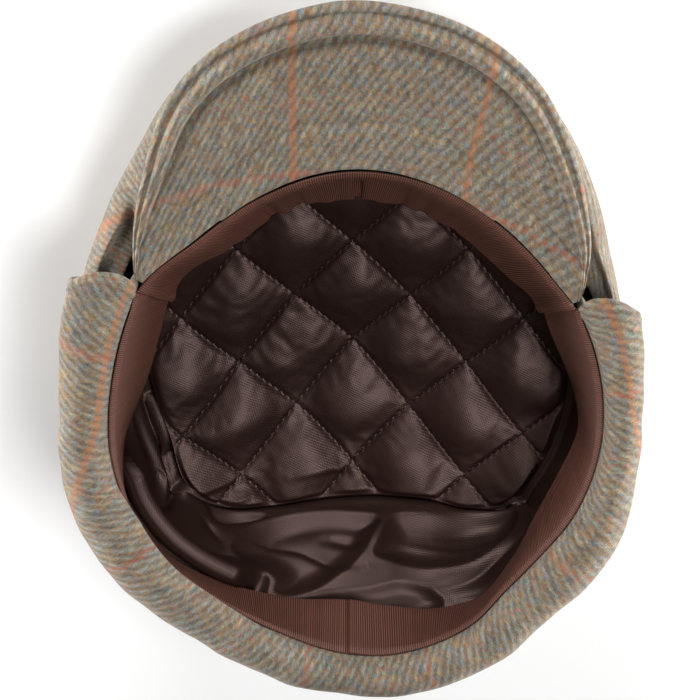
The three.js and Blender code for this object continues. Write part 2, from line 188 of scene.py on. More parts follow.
def place(bearing, reach, z):
    """Points in the source's millimetres, from bearing, reach from the axis, and height."""
    angle = np.radians(bearing)
    x = reach * np.sin(angle)
    y = AXIS_Y - reach * np.cos(angle)
    return np.stack(np.broadcast_arrays(x, y, z), -1)


def headline_z(bearing, reach):
    return HEADLINE_Z + HEADLINE_SLOPE * (AXIS_Y - reach * np.cos(np.radians(bearing)))


def peak_z(bearing, reach):
    x, y, _ = np.moveaxis(place(bearing, reach, 0), -1, 0)
    return PEAK_BACK_Z + (y - PEAK_BACK_Y) * PEAK_SLOPE + PEAK_CURL * (x / PEAK_HALF_WIDTH) ** 2


def behind_corners(bearing):
    away = signed(bearing)
    corner = np.where(away > 0, CORNER_LEFT, -CORNER_RIGHT)
    return smoothstep(np.abs(away), corner - 2.5, corner + 3)


def leg_flare(bearing):
    return np.maximum(0, -HEAD.lean(bearing)) * FLAP_LEG / BAND_WIDTH


# ---- Crown ----

def crown_mouth(bearing):
    behind = HEAD.rim(bearing) + leg_flare(bearing) + FLAP_WALL + LAP_GAP + CROWN_WALL
    reach = np.maximum(PEAK.edge(bearing) - PEAK_HEM, behind)
    under_peak = peak_z(bearing, reach) - PEAK_WALL - GAP
    at_headline = headline_z(bearing, HEAD.rim(bearing)) - MOUTH_DROP
    return reach, lerp(under_peak, at_headline, behind_corners(bearing))


def crown_at(bearing, s):
    """The crown's outside: s runs 0 to 1 from its mouth to the widest line, on to 2 at its foot
    and to 3 at the middle of its flattened top."""
    mouth, mouth_z = crown_mouth(bearing)
    bulge, bulge_z = CROWN.bulge(bearing), CROWN.bulge_z(bearing)
    foot, full = CROWN.foot(bearing), CROWN.full(bearing)
    up, down, flat = (np.clip(s - start, 0, 1) for start in (0, 1, 2))
    angle = down * np.pi / 2
    belly = lerp(lerp(bulge, foot, down), lerp(foot, bulge, np.cos(angle)), full)
    belly_z = bulge_z * (1 - lerp(down * (2 - down), np.sin(angle), full))
    reach = np.where(s > 1, belly * (1 - flat), lerp(mouth, bulge, quarter(up)))
    return reach, np.where(s > 1, belly_z, lerp(mouth_z, bulge_z, up))


def crown_reach(bearing, z):
    """Reach of the crown's outside at a height, where its belly is round."""
    mouth, mouth_z = crown_mouth(bearing)
    bulge, bulge_z, foot = CROWN.bulge(bearing), CROWN.bulge_z(bearing), CROWN.foot(bearing)
    up = (mouth_z - z) / (mouth_z - bulge_z)
    sine = np.clip(1 - z / bulge_z, 0, 1)
    return np.where(z > bulge_z, lerp(mouth, bulge, quarter(up)),
                    lerp(foot, bulge, np.sqrt(1 - sine ** 2)))


# ---- Ear flap ----

def flap_knots(bearing):
    """The section's points: up the inner leg, over the roll and down outside the crown."""
    rim = HEAD.rim(bearing) + GAP
    top = headline_z(bearing, HEAD.rim(bearing))
    width, crest = FLAP.width(bearing), FLAP.crest(bearing)
    knots = [(rim + leg_flare(bearing), top - FLAP_LEG)]
    knots += [(rim + across * width, top + up * crest) for across, up, _ in FLAP_ROLL]
    for j in range(1, FLAP_ROWS + 1):
        share = j / FLAP_ROWS
        z = top - FLAP.fall(bearing) * share
        on_crown = crown_reach(bearing, z) + LAP_GAP + FLAP_WALL
        hanging = lerp(rim + width, on_crown, min(1, share / FLAP_HUG))
        knots.append((np.maximum(on_crown, hanging), z))
    return np.stack([np.stack(k, -1) for k in knots], -2)


def through(knots, q):
    """A smooth curve through the knots, at the parameter q from 0 to their number less one."""
    last = knots.shape[-2] - 1
    k = int(min(max(math.floor(q), 0), last - 1))
    t = q - k
    a, b = knots[..., max(k - 1, 0), :], knots[..., k, :]
    c, d = knots[..., k + 1, :], knots[..., min(k + 2, last), :]
    return 0.5 * (2 * b + (c - a) * t + (2 * a - 5 * b + 4 * c - d) * t ** 2
                  + (3 * b - a - 3 * c + d) * t ** 3)


def flap_cut(q):
    """Degrees by which the flap's end lies behind its corner, along the section."""
    cuts = [0] + [cut for _, _, cut in FLAP_ROLL]
    cuts += [cuts[-1] + FLAP_TAPER * j / FLAP_ROWS for j in range(1, FLAP_ROWS + 1)]
    return float(through(np.array(cuts, float)[:, None], q)[0])


# ---- Sweatband and linings ----

def band_at(bearing, share):
    """The sweatband's outer side, from the headline down to its free lower edge."""
    rim, lean = HEAD.rim(bearing), HEAD.lean(bearing)
    top = headline_z(bearing, rim)
    drop = np.sqrt(BAND_WIDTH ** 2 - lean ** 2)
    belly = BAND_BELLY * lean * np.sin(share * np.pi)
    return rim - lean * share + belly, top - drop * share


def left_of(reach, z, distance):
    """A section moved sideways by a distance, to its left as it runs."""
    dr, dz = np.gradient(reach, axis=-1), np.gradient(z, axis=-1)
    size = np.hypot(dr, dz) + 1e-9
    return reach - dz / size * distance, z + dr / size * distance


def side_at(bearing, t):
    """The side lining's outer side: t is -0.3 to 0 behind the sweatband, then 0 to 1 down to
    the quilted panel."""
    clear = LINING_GAP + SATIN_WALL
    lean = HEAD.lean(bearing)
    reach, z = band_at(bearing, np.clip(1 + t, 0, 1))
    drop = np.sqrt(BAND_WIDTH ** 2 - lean ** 2)
    reach, z = reach + drop / BAND_WIDTH * clear, z - lean / BAND_WIDTH * clear
    edge, edge_z = LINING.panel(bearing) + clear, LINING.panel_z(bearing)
    down = np.clip(t, 0, 1)
    swell = LINING.billow(bearing) * np.sin(np.pi * down)
    return (np.where(t > 0, lerp(reach, edge, down) + swell, reach),
            np.where(t > 0, lerp(z, edge_z, down), z))


# ---- Surface detail ----

RIPPLE_WAVES = 9


def ripple(points, scale, seed):
    """A soft irregular field over points in millimetres, about -1 to 1, the same every run."""
    rng = np.random.default_rng(seed)
    total = np.zeros(points.shape[:-1])
    for _ in range(RIPPLE_WAVES):
        direction = rng.normal(size=3)
        direction /= np.linalg.norm(direction)
        wave = 2 * np.pi / (scale * rng.uniform(0.7, 1.6))
        total += np.sin(points @ direction * wave + rng.uniform(0, 2 * np.pi))
    return total / math.sqrt(RIPPLE_WAVES) / 1.3


def lengths(points, axis):
    """Distance along a grid of points from its first row or column."""
    step = np.linalg.norm(np.diff(points, axis=axis), axis=-1)
    shape = list(step.shape)
    shape[axis] = 1
    return np.concatenate([np.zeros(shape), np.cumsum(step, axis)], axis)


def from_last(points, axis):
    """Distance along a grid of points from its last row or column."""
    return np.flip(lengths(np.flip(points, axis), axis), axis)


def from_ends(points, axis):
    return np.minimum(lengths(points, axis), from_last(points, axis))


def edge_round(distance, radius):
    """Share of the full thickness at a distance in from a rounded edge."""
    d = np.clip(distance / radius, 0, 1)
    return np.sqrt(np.clip(1 - (1 - d) ** 2, 0, 1))


def to_path(x, y, path):
    """Distance from points (x, y) to a path of straight pieces, which side of it they lie on,
    and how far along it the nearest place is, from 0 to 1."""
    path = np.array(path, float)
    best, side, along = np.full(x.shape, 1e9), np.ones(x.shape), np.zeros(x.shape)
    steps = np.linalg.norm(np.diff(path, axis=0), axis=1)
    done = 0.0
    for (ax, ay), (bx, by), size in zip(path[:-1], path[1:], steps):
        dx, dy = (bx - ax) / size, (by - ay) / size
        t = np.clip(((x - ax) * dx + (y - ay) * dy) / size, 0, 1)
        off_x, off_y = x - ax - t * size * dx, y - ay - t * size * dy
        distance = np.hypot(off_x, off_y)
        nearer = distance < best
        best = np.where(nearer, distance, best)
        side = np.where(nearer, np.sign(dx * off_y - dy * off_x + 1e-9), side)
        along = np.where(nearer, (done + t * size) / steps.sum(), along)
        done += size
    return best, side, along


CORNER_CUTS = 3


def rounded(path, shut):
    """A path with its corners cut off a few times over, so that it bends softly. shut says that
    it is an outline."""
    path = np.array(path, float)
    for _ in range(CORNER_CUTS):
        ahead = np.roll(path, -1, 0) if shut else path[1:]
        here = path if shut else path[:-1]
        cuts = np.stack([here * 0.75 + ahead * 0.25, here * 0.25 + ahead * 0.75], 1).reshape(-1, 2)
        path = cuts if shut else np.concatenate([path[:1], cuts, path[-1:]])
    return [tuple(point) for point in path]


def inside_outline(x, y, outline):
    """Whether points lie inside a closed outline."""
    inside = np.zeros(x.shape, bool)
    for (ax, ay), (bx, by) in zip(outline, outline[1:] + outline[:1]):
        if ay != by:
            crosses = (ay > y) != (by > y)
            inside ^= crosses & (x < ax + (y - ay) / (by - ay) * (bx - ax))
    return inside


def thin(outer, inner, share):
    """Both faces drawn in towards the middle of the wall, to a share of its thickness."""
    middle, half = (outer + inner) / 2, (outer - inner) / 2
    return middle + half * share[..., None], middle - half * share[..., None]


def normals(points, around):
    """Unit normals of a grid, along its first way crossed with its second."""
    if around:
        du = np.roll(points, -1, 0) - np.roll(points, 1, 0)
    else:
        du = np.gradient(points, axis=0)
    dv = np.gradient(points, axis=1)
    return unit(np.cross(du, dv))


def unit(vectors):
    return vectors / (np.linalg.norm(vectors, axis=-1, keepdims=True) + 1e-12)


# ---- Meshes ----

WELD = 2e-6                    # points closer than this become one, in metres


def add_piece(name, points, faces, maps, material, node=None):
    """A smooth piece from points in the source's millimetres and faces. maps holds UV maps by
    name, with a place for each corner of each face."""
    mesh = bpy.data.meshes.new(name)
    mesh.from_pydata(((points + np.array(SHIFT)) * MM).tolist(), [], faces)
    for label, places in maps.items():
        layer = mesh.uv_layers.new(name=label)
        layer.uv.foreach_set("vector", places.astype(np.float32).ravel())
    work = bmesh.new()
    work.from_mesh(mesh)
    bmesh.ops.remove_doubles(work, verts=work.verts, dist=WELD)
    bmesh.ops.recalc_face_normals(work, faces=work.faces)
    work.to_mesh(mesh)
    work.free()
    mesh.shade_smooth()
    mesh.materials.append(material)
    piece = bpy.data.objects.new(name, mesh)
    bpy.context.scene.collection.objects.link(piece)
    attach(piece, "root")
    if node:
        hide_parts(node)
    return piece


def skin(name, outer, inner, maps, around, material, node):
    """A smooth closed surface from a grid of points on its outside and one on its inside.

    A section runs along the outside and back along the inside, and around says that the last
    section joins the first. maps holds UV maps by name, on the outside's grid, with a row more
    where the join has values of its own."""
    points = np.concatenate([outer, inner[:, ::-1]], 1)
    n, k = points.shape[:2]
    i, j = np.arange(n if around else n - 1)[:, None], np.arange(k)[None, :]
    corners = [(i, j), (i + 1, j), (i + 1, j + 1), (i, j + 1)]
    faces = np.stack([(a % n) * k + b % k for a, b in corners], -1).reshape(-1, 4)
    places = {}
    for label, uv in maps.items():
        uv = np.concatenate([uv, uv[:, ::-1], uv[:, :1]], 1)
        uv = np.concatenate([uv, uv[:1]], 0)
        places[label] = np.stack([uv[a, b] for a, b in corners], 2)
    return add_piece(name, points.reshape(-1, 3), faces.tolist(), places, material, node)


def grid_faces(n):
    """The four-sided faces of a grid of n by n points."""
    index = np.arange(n * n).reshape(n, n)
    corners = [index[:-1, :-1], index[1:, :-1], index[1:, 1:], index[:-1, 1:]]
    return np.stack(corners, -1).reshape(-1, 4)


def grid_map(u, v):
    return np.stack(np.broadcast_arrays(u, v), -1)


# ---- Materials ----

class Graph:
    """A new material, with short calls for the nodes that it uses."""

    def __init__(self, name):
        self.material = bpy.data.materials.new(name)
        self.material.use_nodes = True
        self.tree = self.material.node_tree
        self.shader = self.tree.nodes["Principled BSDF"]

    def put(self, socket, value):
        if isinstance(value, bpy.types.NodeSocket):
            self.tree.links.new(value, socket)
        else:
            socket.default_value = value

    def node(self, kind, inputs, output=0, **settings):
        """An output of a new node, with its inputs by number or name."""
        made = self.tree.nodes.new("ShaderNode" + kind)
        for name, value in settings.items():
            setattr(made, name, value)
        for name, value in inputs.items():
            self.put(made.inputs[name], value)
        return made.outputs[output]

    def math(self, operation, *values):
        return self.node("Math", dict(enumerate(values)), operation=operation)

    def plus(self, a, b):
        return self.math("ADD", a, b)

    def minus(self, a, b):
        return self.math("SUBTRACT", a, b)

    def times(self, a, b):
        return self.math("MULTIPLY", a, b)

    def fit(self, value, scale, offset):
        return self.math("MULTIPLY_ADD", value, scale, offset)

    def wave(self, value, turns):
        return self.math("SINE", self.times(value, turns * 2 * math.pi))

    def clamp(self, value):
        return self.node("Clamp", {0: value})

    def map(self, name):
        x = self.node("SeparateXYZ", {0: self.node("UVMap", {}, uv_map=name)})
        return x, x.node.outputs[1]

    def vector(self, *values):
        return self.node("CombineXYZ", dict(enumerate(values)))

    def noise(self, vector, scale, detail=2.0, rough=0.5, output=0):
        inputs = {"Vector": vector, "Scale": scale, "Detail": detail, "Roughness": rough}
        return self.node("TexNoise", inputs, output)

    def ramp(self, value, stops):
        colour = self.node("ValToRGB", {0: value})
        elements = colour.node.color_ramp.elements
        while len(elements) < len(stops):
            elements.new(0.5)
        for element, (position, *stop) in zip(elements, stops):
            element.position = position
            element.color = (*srgb(*stop), 1)
        return colour

    def mix(self, factor, a, b, blend="MIX"):
        a, b = ((*value, 1) if isinstance(value, tuple) else value for value in (a, b))
        return self.node("Mix", {0: factor, 6: a, 7: b}, 2, data_type="RGBA", blend_type=blend)

    def shaded(self, colour, shade):
        return self.mix(1.0, colour, self.vector(shade, shade, shade), "MULTIPLY")

    def finish(self, colour, relief, depth, strength, constants):
        """The shader's colour, its bump of a depth in metres, and its constants by name."""
        inputs = {"Height": relief, "Distance": depth, "Strength": strength}
        self.put(self.shader.inputs["Base Color"], colour)
        self.put(self.shader.inputs["Normal"], self.node("Bump", inputs))
        for name, value in constants.items():
            self.put(self.shader.inputs[name], value)
        return self.material


def srgb(*values):
    return tuple(((v / 255 + 0.055) / 1.055) ** 2.4 if v > 10 else v / 255 / 12.92 for v in values)


# Colours of the spun yarns: the paler ones along the cloth and the darker ones across it. Each
# row is a place from one end of a soft noise to the other, then red, green and blue.
PALE_YARNS = [(0.30, 122, 106, 90), (0.40, 134, 124, 112), (0.47, 140, 142, 142),
              (0.53, 128, 116, 98), (0.58, 134, 141, 132), (0.66, 160, 152, 138)]
DARK_YARNS = [(0.30, 78, 66, 54), (0.42, 108, 90, 72), (0.50, 90, 79, 67),
              (0.57, 126, 104, 80), (0.64, 140, 98, 66), (0.70, 96, 94, 86)]
# Colours across each rib of the ribbon, by place from dark to light: painted shade and painted light
# of its ribs.
RIB_LIGHT_AND_SHADE = [(0.22, 50, 28, 22), (0.5, 73, 44, 36), (0.85, 114, 75, 61)]
WARM_YARN = (1.06, 0.89, 0.66)
COOL_YARN = (0.74, 0.90, 1.07)
CHECK_ORANGE = srgb(158, 99, 62)
CHECK_RED = srgb(166, 84, 60)
FLECK_RED = srgb(158, 88, 76)
FLECK_GREEN = srgb(126, 142, 116)
YARN = 0.855                   # width of a warp yarn, in millimetres
PICK = 1.195                   # width of a weft yarn
CHECK = 75.0                   # distance from one line of the overcheck to the next
GRAIN = 0.90                   # from one float of the satin to the next


def yarn_colours(g, x, y, u, v, on_top):
    """Pale yarns over dark ones, with a mottle and slow drifts from warm to cool."""
    pale = g.ramp(g.noise(g.vector(u, g.times(v, 0.6), 7.0), 0.48, 1.0), PALE_YARNS)
    dark = g.ramp(g.noise(g.vector(g.times(u, 0.6), v, 3.0), 0.48, 1.0), DARK_YARNS)
    colour = g.mix(on_top, dark, pale)
    mottle = g.noise(g.vector(x, y, 17.0), 0.95, 1.0, output=1)
    colour = g.mix(0.22, colour, mottle, "OVERLAY")
    near = g.fit(g.noise(g.vector(x, y, 23.0), 0.72, 1.0), 3.0, -1.0)
    far = g.fit(g.noise(g.vector(x, y, 29.0), 0.17, 2.0), 1.2, -0.6)
    tint = g.mix(g.clamp(g.plus(near, far)), WARM_YARN, COOL_YARN)
    return g.mix(1.0, colour, tint, "MULTIPLY")


def overcheck(g, colour, u, v, wale, fuzz):
    """A few dyed yarns each way, showing where they lie on top, with rows of coloured flecks
    between the weft lines. The check map counts repeats of it."""
    s, t = g.map("check")

    def line(repeat, half_width, fade):
        away = g.math("ABSOLUTE", g.minus(g.math("FRACT", repeat), 0.5))
        near = g.math("DIVIDE", g.minus(0.5, away), half_width / CHECK)
        near = g.fit(fuzz, 1.2, g.minus(1.0, g.plus(near, 0.2)))
        return g.times(g.clamp(g.times(near, 1.6)), fade)

    rows = g.plus(line(g.plus(t, 0.36), 4.5, 0.5), line(g.plus(t, 0.68), 3.0, 0.4))
    flecks = g.noise(g.vector(u, v, 11.0), 0.8, 1.0)
    dyed = [(g.times(rows, g.clamp(g.fit(flecks, 9.0, -5.0))), FLECK_RED),
            (g.times(rows, g.clamp(g.fit(flecks, -9.0, 4.0))), FLECK_GREEN),
            (line(s, 1.35, g.fit(wale, 0.4, 0.3)), CHECK_ORANGE),
            (line(t, 1.2, g.fit(wale, -0.4, 0.46)), CHECK_RED)]
    for share, dye in dyed:
        colour = g.mix(share, colour, dye)
    return colour


def tweed():
    """A milled woollen 2/2 twill in mixed yarns, with a thin overcheck. The weave map is in
    millimetres of cloth."""
    g = Graph("tweed_cloth")
    x, y = g.map("weave")
    cloth = g.vector(x, y)
    wander = g.fit(g.noise(cloth, 0.3, 3.0), 1.6, -0.8)
    u = g.math("DIVIDE", g.plus(x, wander), YARN)
    v = g.math("DIVIDE", g.minus(y, wander), PICK)
    # Yarns lie over two and under two, one later in each next row: soft slanting wales.
    wale = g.fit(g.wave(g.minus(v, u), 1 / 4), 0.5, 0.5)
    fuzz = g.noise(cloth, 1.5, 3.0, 0.7)
    on_top = g.clamp(g.plus(g.fit(wale, 0.40, 0.30), g.fit(fuzz, 1.5, -0.75)))
    colour = overcheck(g, yarn_colours(g, x, y, u, v, on_top), u, v, wale, fuzz)

    fibres = g.noise(cloth, 2.9, 3.0, 0.7)
    cloudy = g.noise(cloth, 0.06, 3.0, 0.6)
    height = g.fit(g.times(g.wave(u, 1), g.wave(v, 1)), 0.16, g.times(wale, 0.5))
    # The weave's relief is painted into its colour: each yarn darker where it dips and lighter on its
    # crown, as painted shade. The fibre and cloud noises vary the tone at random.
    shade = g.times(g.fit(fibres, 1.0, 0.42), g.fit(cloudy, 0.28, 0.86))
    shade = g.times(shade, g.fit(height, 0.30, 0.86))
    return g.finish(g.shaded(colour, shade), g.fit(fibres, 0.9, height), 0.00040, 0.7, {
        "Roughness": 0.92, "Specular IOR Level": 0.2, "Sheen Weight": 0.2,
        "Sheen Roughness": 0.5, "Sheen Tint": (0.9, 0.86, 0.78, 1)})


def grosgrain():
    """Ribbed ribbon. The rib map counts ribs one way and millimetres across the other."""
    g = Graph("ribbed_ribbon")
    x, y = g.map("rib")
    # Each rib's colour runs from dark to light and back: painted light and shade of the ribs.
    ridge = g.math("PINGPONG", g.times(x, 2.0), 1.0)
    rib = g.vector(g.math("FLOOR", x), 0.0, 5.0)
    each = g.node("TexWhiteNoise", {"Vector": rib}, noise_dimensions="3D")
    cloth = g.vector(g.times(x, RIB), y)
    threads = g.noise(cloth, 1.4, 3.0)
    dusty = g.noise(cloth, 0.09, 3.0)
    shade = g.fit(threads, 0.36, g.fit(each, 0.2, 0.72))
    shade = g.times(shade, g.fit(dusty, 0.3, 0.85))
    return g.finish(g.shaded(g.ramp(ridge, RIB_LIGHT_AND_SHADE), shade), threads, 0.0001, 0.4, {
        "Roughness": 0.6, "Specular IOR Level": 0.25})


def satin(name, base, float_sheen):
    """Dark satin with a fine slanting grain of short floats. The weave map is in millimetres."""
    g = Graph(name)
    x, y = g.map("weave")
    slant = g.wave(g.fit(x, 0.5, y), 1 / GRAIN)
    cross = g.wave(g.fit(x, 1.3, g.times(y, -0.35)), 1 / GRAIN)
    weave = g.fit(slant, 0.3, g.fit(cross, 0.2, 0.5))
    threads = g.noise(g.vector(g.times(x, 0.35), g.times(y, 4.0)), 1.0, 2.0)
    cloudy = g.noise(g.vector(x, y), 0.07, 2.0)
    # The floats are painted lighter, as painted sheen, and the gaps between them darker, as painted
    # shade.
    tone = g.fit(weave, 0.85, g.fit(threads, 0.5, -0.2))
    colour = g.shaded(g.mix(g.clamp(tone), base, float_sheen), g.fit(cloudy, 0.3, 0.85))
    return g.finish(colour, g.fit(threads, 0.5, weave), 0.00006, 0.8, {
        "Roughness": 0.45, "Specular IOR Level": 0.47, "Specular Tint": (1.0, 0.70, 0.63, 1)})


def thread(name, colour):
    g = Graph(name)
    twist = g.noise(g.node("TexCoord", {}, "Object"), 2600.0)
    bright = tuple(c * 1.7 for c in colour)
    return g.finish(g.mix(twist, colour, bright), twist, 0.0001, 0.5, {
        "Roughness": 0.8, "Specular IOR Level": 0.1})


# ---- Crown ----

# Beside the ends of the peak the crown dips into a dark gap, and swells again outside it: the
# depth of the dip and the height of the swelling.
CROWN_DIP, CROWN_SWELL = 9.0, 1.5

# The overcheck on the crown: the repeat across and along it, and where the lines start.
CROWN_CHECK, CROWN_CHECK_START = (85, 88), (25, 80)


def make_crown(material):
    bearing = np.linspace(0, 360, 480, endpoint=False)[:, None]
    s = np.concatenate([np.linspace(0, 1, 20), np.linspace(1, 2, 40)[1:], np.linspace(2, 3, 14)[1:]])
    s = s[None, :]
    reach, z = crown_at(bearing, s)
    away = signed(bearing)
    ends = smoothstep(away, 42, 55) * (away < 75) + smoothstep(-away, 47, 61) * (away > -80)
    z = z - CROWN_DIP * ends * (1 - smoothstep(s, 0.26, 0.5))
    z = z + CROWN_SWELL * ends * bell(s - 0.62, 0.2)
    inner_reach, inner_z = left_of(reach, z, -CROWN_WALL)
    inner_reach[:, -1], inner_z[:, -1] = 0, CROWN_WALL
    inner_z = np.where(s > 2, CROWN_WALL, inner_z)
    plain = outer = place(bearing, reach, z)
    inner = place(bearing, np.maximum(inner_reach, 0), inner_z)
    free = between(s, 0.15, 0.8, 1.6, 1.95) * (1 - 0.8 * behind_corners(bearing))
    outer = outer + normals(outer, True) * (free * 0.8 * ripple(outer, scale=42, seed=11))[..., None]
    outer, inner = thin(outer, inner, edge_round(lengths(outer, 1), CROWN_EDGE))

    # The cloth is laid over the crown from the middle of its top.
    radius, angle = from_last(plain, 1), np.radians(bearing)
    weave = grid_map(-radius * np.sin(angle), -radius * np.cos(angle))
    maps = {"weave": weave, "check": (weave + CROWN_CHECK_START) / CROWN_CHECK}
    return skin("crown_cloth", outer, inner, maps, True, material, "crown")


# ---- Peak ----

PEAK_ROLL = 1.9                # radius of its rolled edge, in millimetres
PEAK_HALF = 1.95               # how far each face curls in there
PEAK_CHECK = 70                # repeat of the overcheck from side to side


def peak_rise(from_edge, side):
    """Height of the peak's upper face: rolled edge, topstitched groove, raised seam allowance."""
    edge = -PEAK_HALF * (1 - edge_round(from_edge, PEAK_ROLL))
    allowance = 2.7 * between(from_edge, 3.9, 6.8, 9.4, 12.0)
    valley = -2.2 * bell(from_edge - 12.6, 2.2)
    groove = -1.0 * bell(from_edge - 3.7, 0.8)
    second = -0.6 * bell(from_edge - 8.0, 0.9) * side
    plain = 0.35 * smoothstep(from_edge, 0.6, 2.2)
    return edge + (allowance + valley) * (1 - 0.62 * side) + groove + second + plain


def inner_arc(away, across):
    """Where the peak's inside layers end, in a faint arc a little way in front of the sweatband:
    across is the distance out from the headline."""
    arc = 16.5 + 2.2 * bell(away - 9, 7) + 2.2 * bell(away + 11, 7)
    across = across - (arc - 5.5 * smoothstep(np.abs(away), 15, 32))
    return 0.6 * (1 - smoothstep(across, -2, 0.5)) - 0.7 * bell(across - 0.6, 1.0)


def make_peak(material):
    bearing = np.linspace(CORNER_RIGHT + PEAK_TUCK, CORNER_LEFT - PEAK_TUCK, 360)[:, None]
    edge, rim = PEAK.edge(bearing), HEAD.rim(bearing)
    width = edge - rim - GAP
    squeeze = np.minimum(1, width / PEAK_FULL_WIDTH)
    near = np.concatenate([[0, 0.12, 0.35, 0.7, 1.1, 1.5], np.arange(2.0, 16, 0.4),
                           np.arange(16, 42.1, 1.0)])
    from_edge = near[None, :] * squeeze
    share = np.linspace(0, 1, 16)[None, 1:]
    from_edge = np.concatenate([from_edge, lerp(from_edge[:, -1:], width, share)], 1)
    nominal = from_edge / squeeze
    reach = edge - from_edge
    away = signed(bearing)
    rise = peak_rise(nominal, smoothstep(np.abs(away), 26, 46)) * squeeze ** 0.3
    rise = rise + inner_arc(away, reach - rim)
    z = peak_z(bearing, reach)
    upper = place(bearing, reach, z + rise)
    upper[..., 2] += 0.28 * ripple(upper, scale=26, seed=21) * smoothstep(nominal, 1, 6)
    lower = place(bearing, reach, z - lerp(PEAK_HALF, PEAK_WALL, edge_round(nominal, PEAK_ROLL)))
    border = np.minimum(from_ends(upper, 0), from_last(upper, 1) * 3)
    upper, lower = thin(upper, lower, edge_round(border, PEAK_EDGE))

    x, y, _ = np.moveaxis(place(bearing, reach, z), -1, 0)
    spread = 1 + 0.148 * smoothstep(y, -118, -64)
    s, t = (x - 20) * spread / PEAK_CHECK, (72 + y - 0.0033 * x ** 2 + 0.10 * x) / CHECK
    maps = {"weave": grid_map(-x, -y + 0.0045 * x ** 2), "check": grid_map(s, t)}
    return skin("peak_cloth", upper, lower, maps, False, material, "peak")


# ---- Ear flap ----

def flap_grid(columns, per_knot):
    """The flap's two faces, the bearing of each point, and the parameter across it."""
    along = np.linspace(0, 1, columns)
    ends = np.array([0.0004, 0.0012, 0.0024])
    along = np.unique(np.concatenate([along, ends, 1 - ends]))
    straight = lerp(CORNER_LEFT, CORNER_RIGHT + 360, along)
    count = len(FLAP_ROLL) + FLAP_ROWS
    params = np.linspace(0, count, count * per_knot + 1)
    outer, hidden, bearings = [], [], []
    for q in params:
        bearing = straight + flap_cut(q) * (1 - 2 * along)
        knots = flap_knots(bearing)
        at = through(knots, q)
        step = through(knots, min(q + 0.02, count)) - through(knots, max(q - 0.02, 0))
        inside = at + unit(step)[:, ::-1] * [FLAP_WALL, -FLAP_WALL]
        outer.append(place(bearing, at[:, 0], at[:, 1]))
        hidden.append(place(bearing, inside[:, 0], inside[:, 1]))
        bearings.append(bearing)
    return np.stack(outer, 1), np.stack(hidden, 1), np.stack(bearings, 1), params[None, :]


# Behind one side the roll sags inwards over the sweatband: how far, from which bearings to
# which, and at places across the roll its share there.
FLAP_SAG = 4.6
FLAP_SAG_SPAN = (100, 116, 138, 172)
FLAP_SAG_ACROSS = [(1, 1.12, 1.35, 2, 3, 4, 5), (0, 0.75, 1, 0.8, 0.4, 0.1, 0)]

# The overcheck's lines on the flap: their bearings, and which repeat each is.
FLAP_CHECKS = [(25, 73, 121, 170, 198, 237, 278, 319), (-1, 0, 1, 2, 3, 4, 5, 6)]


def make_flap(material):
    outer, hidden, bearing, q = flap_grid(460, 8)
    out = normals(outer, False)
    wave = 0.7 * ripple(outer, scale=46, seed=31) + 0.3 * ripple(outer, scale=17, seed=32)
    outer = outer + out * (smoothstep(q, 1.0, 2.5) * wave)[..., None]
    sag = FLAP_SAG * between(bearing, *FLAP_SAG_SPAN) * np.interp(q, *FLAP_SAG_ACROSS)
    inwards = place(bearing, -sag, 0) - place(bearing, 0 * sag, 0)
    outer, hidden = outer + inwards, hidden + inwards * (q < 3)[..., None]

    # A turned edge: a shallow stitched groove runs along both ends.
    across, ends, rows = lengths(outer, 1), from_ends(outer, 0), from_ends(outer, 1)
    outer = outer - out * (0.45 * bell(ends - 3.2, 0.8))[..., None]
    outer, hidden = thin(outer, hidden, edge_round(np.minimum(ends, rows), FLAP_EDGE))

    line = 15 + 52 * smoothstep(bearing, 85, 140) - 44 * smoothstep(bearing, 228, 278)
    check = grid_map((across - line) / CHECK, np.interp(bearing, *FLAP_CHECKS))
    maps = {"weave": grid_map(1.1 * bearing * 1.66, -0.7 * across), "check": check}
    return skin("ear_flap_cloth", outer, hidden, maps, False, material, "ear_flap")


# ---- Sweatband ----

RIB = 0.86                     # from one rib to the next, in millimetres
RIB_STEPS = 4                  # columns of the mesh for each rib
RIB_DEPTH = 0.17
JOIN = 179.3                   # bearing of the seam where the ribbon's ends meet
BAND_SUNK_SPAN = (98, 108, 160, 172)
DEGREE = 1.5                   # width of a degree of the ribbon or the lining, in millimetres

# Puckers where the ribbon is eased round the front: bearing, lean over the band's width in
# degrees, depth in millimetres, half width in degrees.
PUCKERS = [
    (-2.6, 0.3, 4.8, 0.8), (13.0, 2.0, 2.2, 1.5), (21.0, 2.5, 1.9, 1.5), (-14.0, -1.5, 1.3, 1.2),
    (-20.5, -1.5, 1.3, 1.3), (-31.0, -1.5, 0.8, 1.6), (36.0, 3.0, 0.8, 1.8), (6.0, 0.5, -0.7, 2.4),
    (-8.5, -1.0, -0.7, 2.4), (17.5, 2.0, -0.8, 1.6)]

# The ribbon folds over itself at each corner: bearing, lean over its width, which way is behind.
CORNER_FOLDS = [(57.5, 6.5, 1), (-62.5, -5.5, -1)]


def band_inward(bearing, share, points):
    """How far the ribbon stands in from its plain place."""
    away = signed(bearing)
    inward = 0.5 * ripple(points, scale=30, seed=41) * smoothstep(share, 0, 0.3)
    for at, lean, depth, size in PUCKERS:
        inward -= depth * bell(away - at - lean * share, size) * smoothstep(share, 0.15, 0.95)
    for at, lean, way in CORNER_FOLDS:
        behind = (away - at - lean * share) * way
        inward -= 1.9 * smoothstep(behind, 0, 0.4) * np.exp(-np.maximum(behind, 0) / 4.5)
        inward += 0.7 * bell(behind + 1.2, 1.6)
    join = signed(bearing, JOIN) * DEGREE
    return inward + 0.5 * smoothstep(join, 0.1, 0.9) * bell(join - 0.4, 6) - 0.95 * bell(join, 0.5)


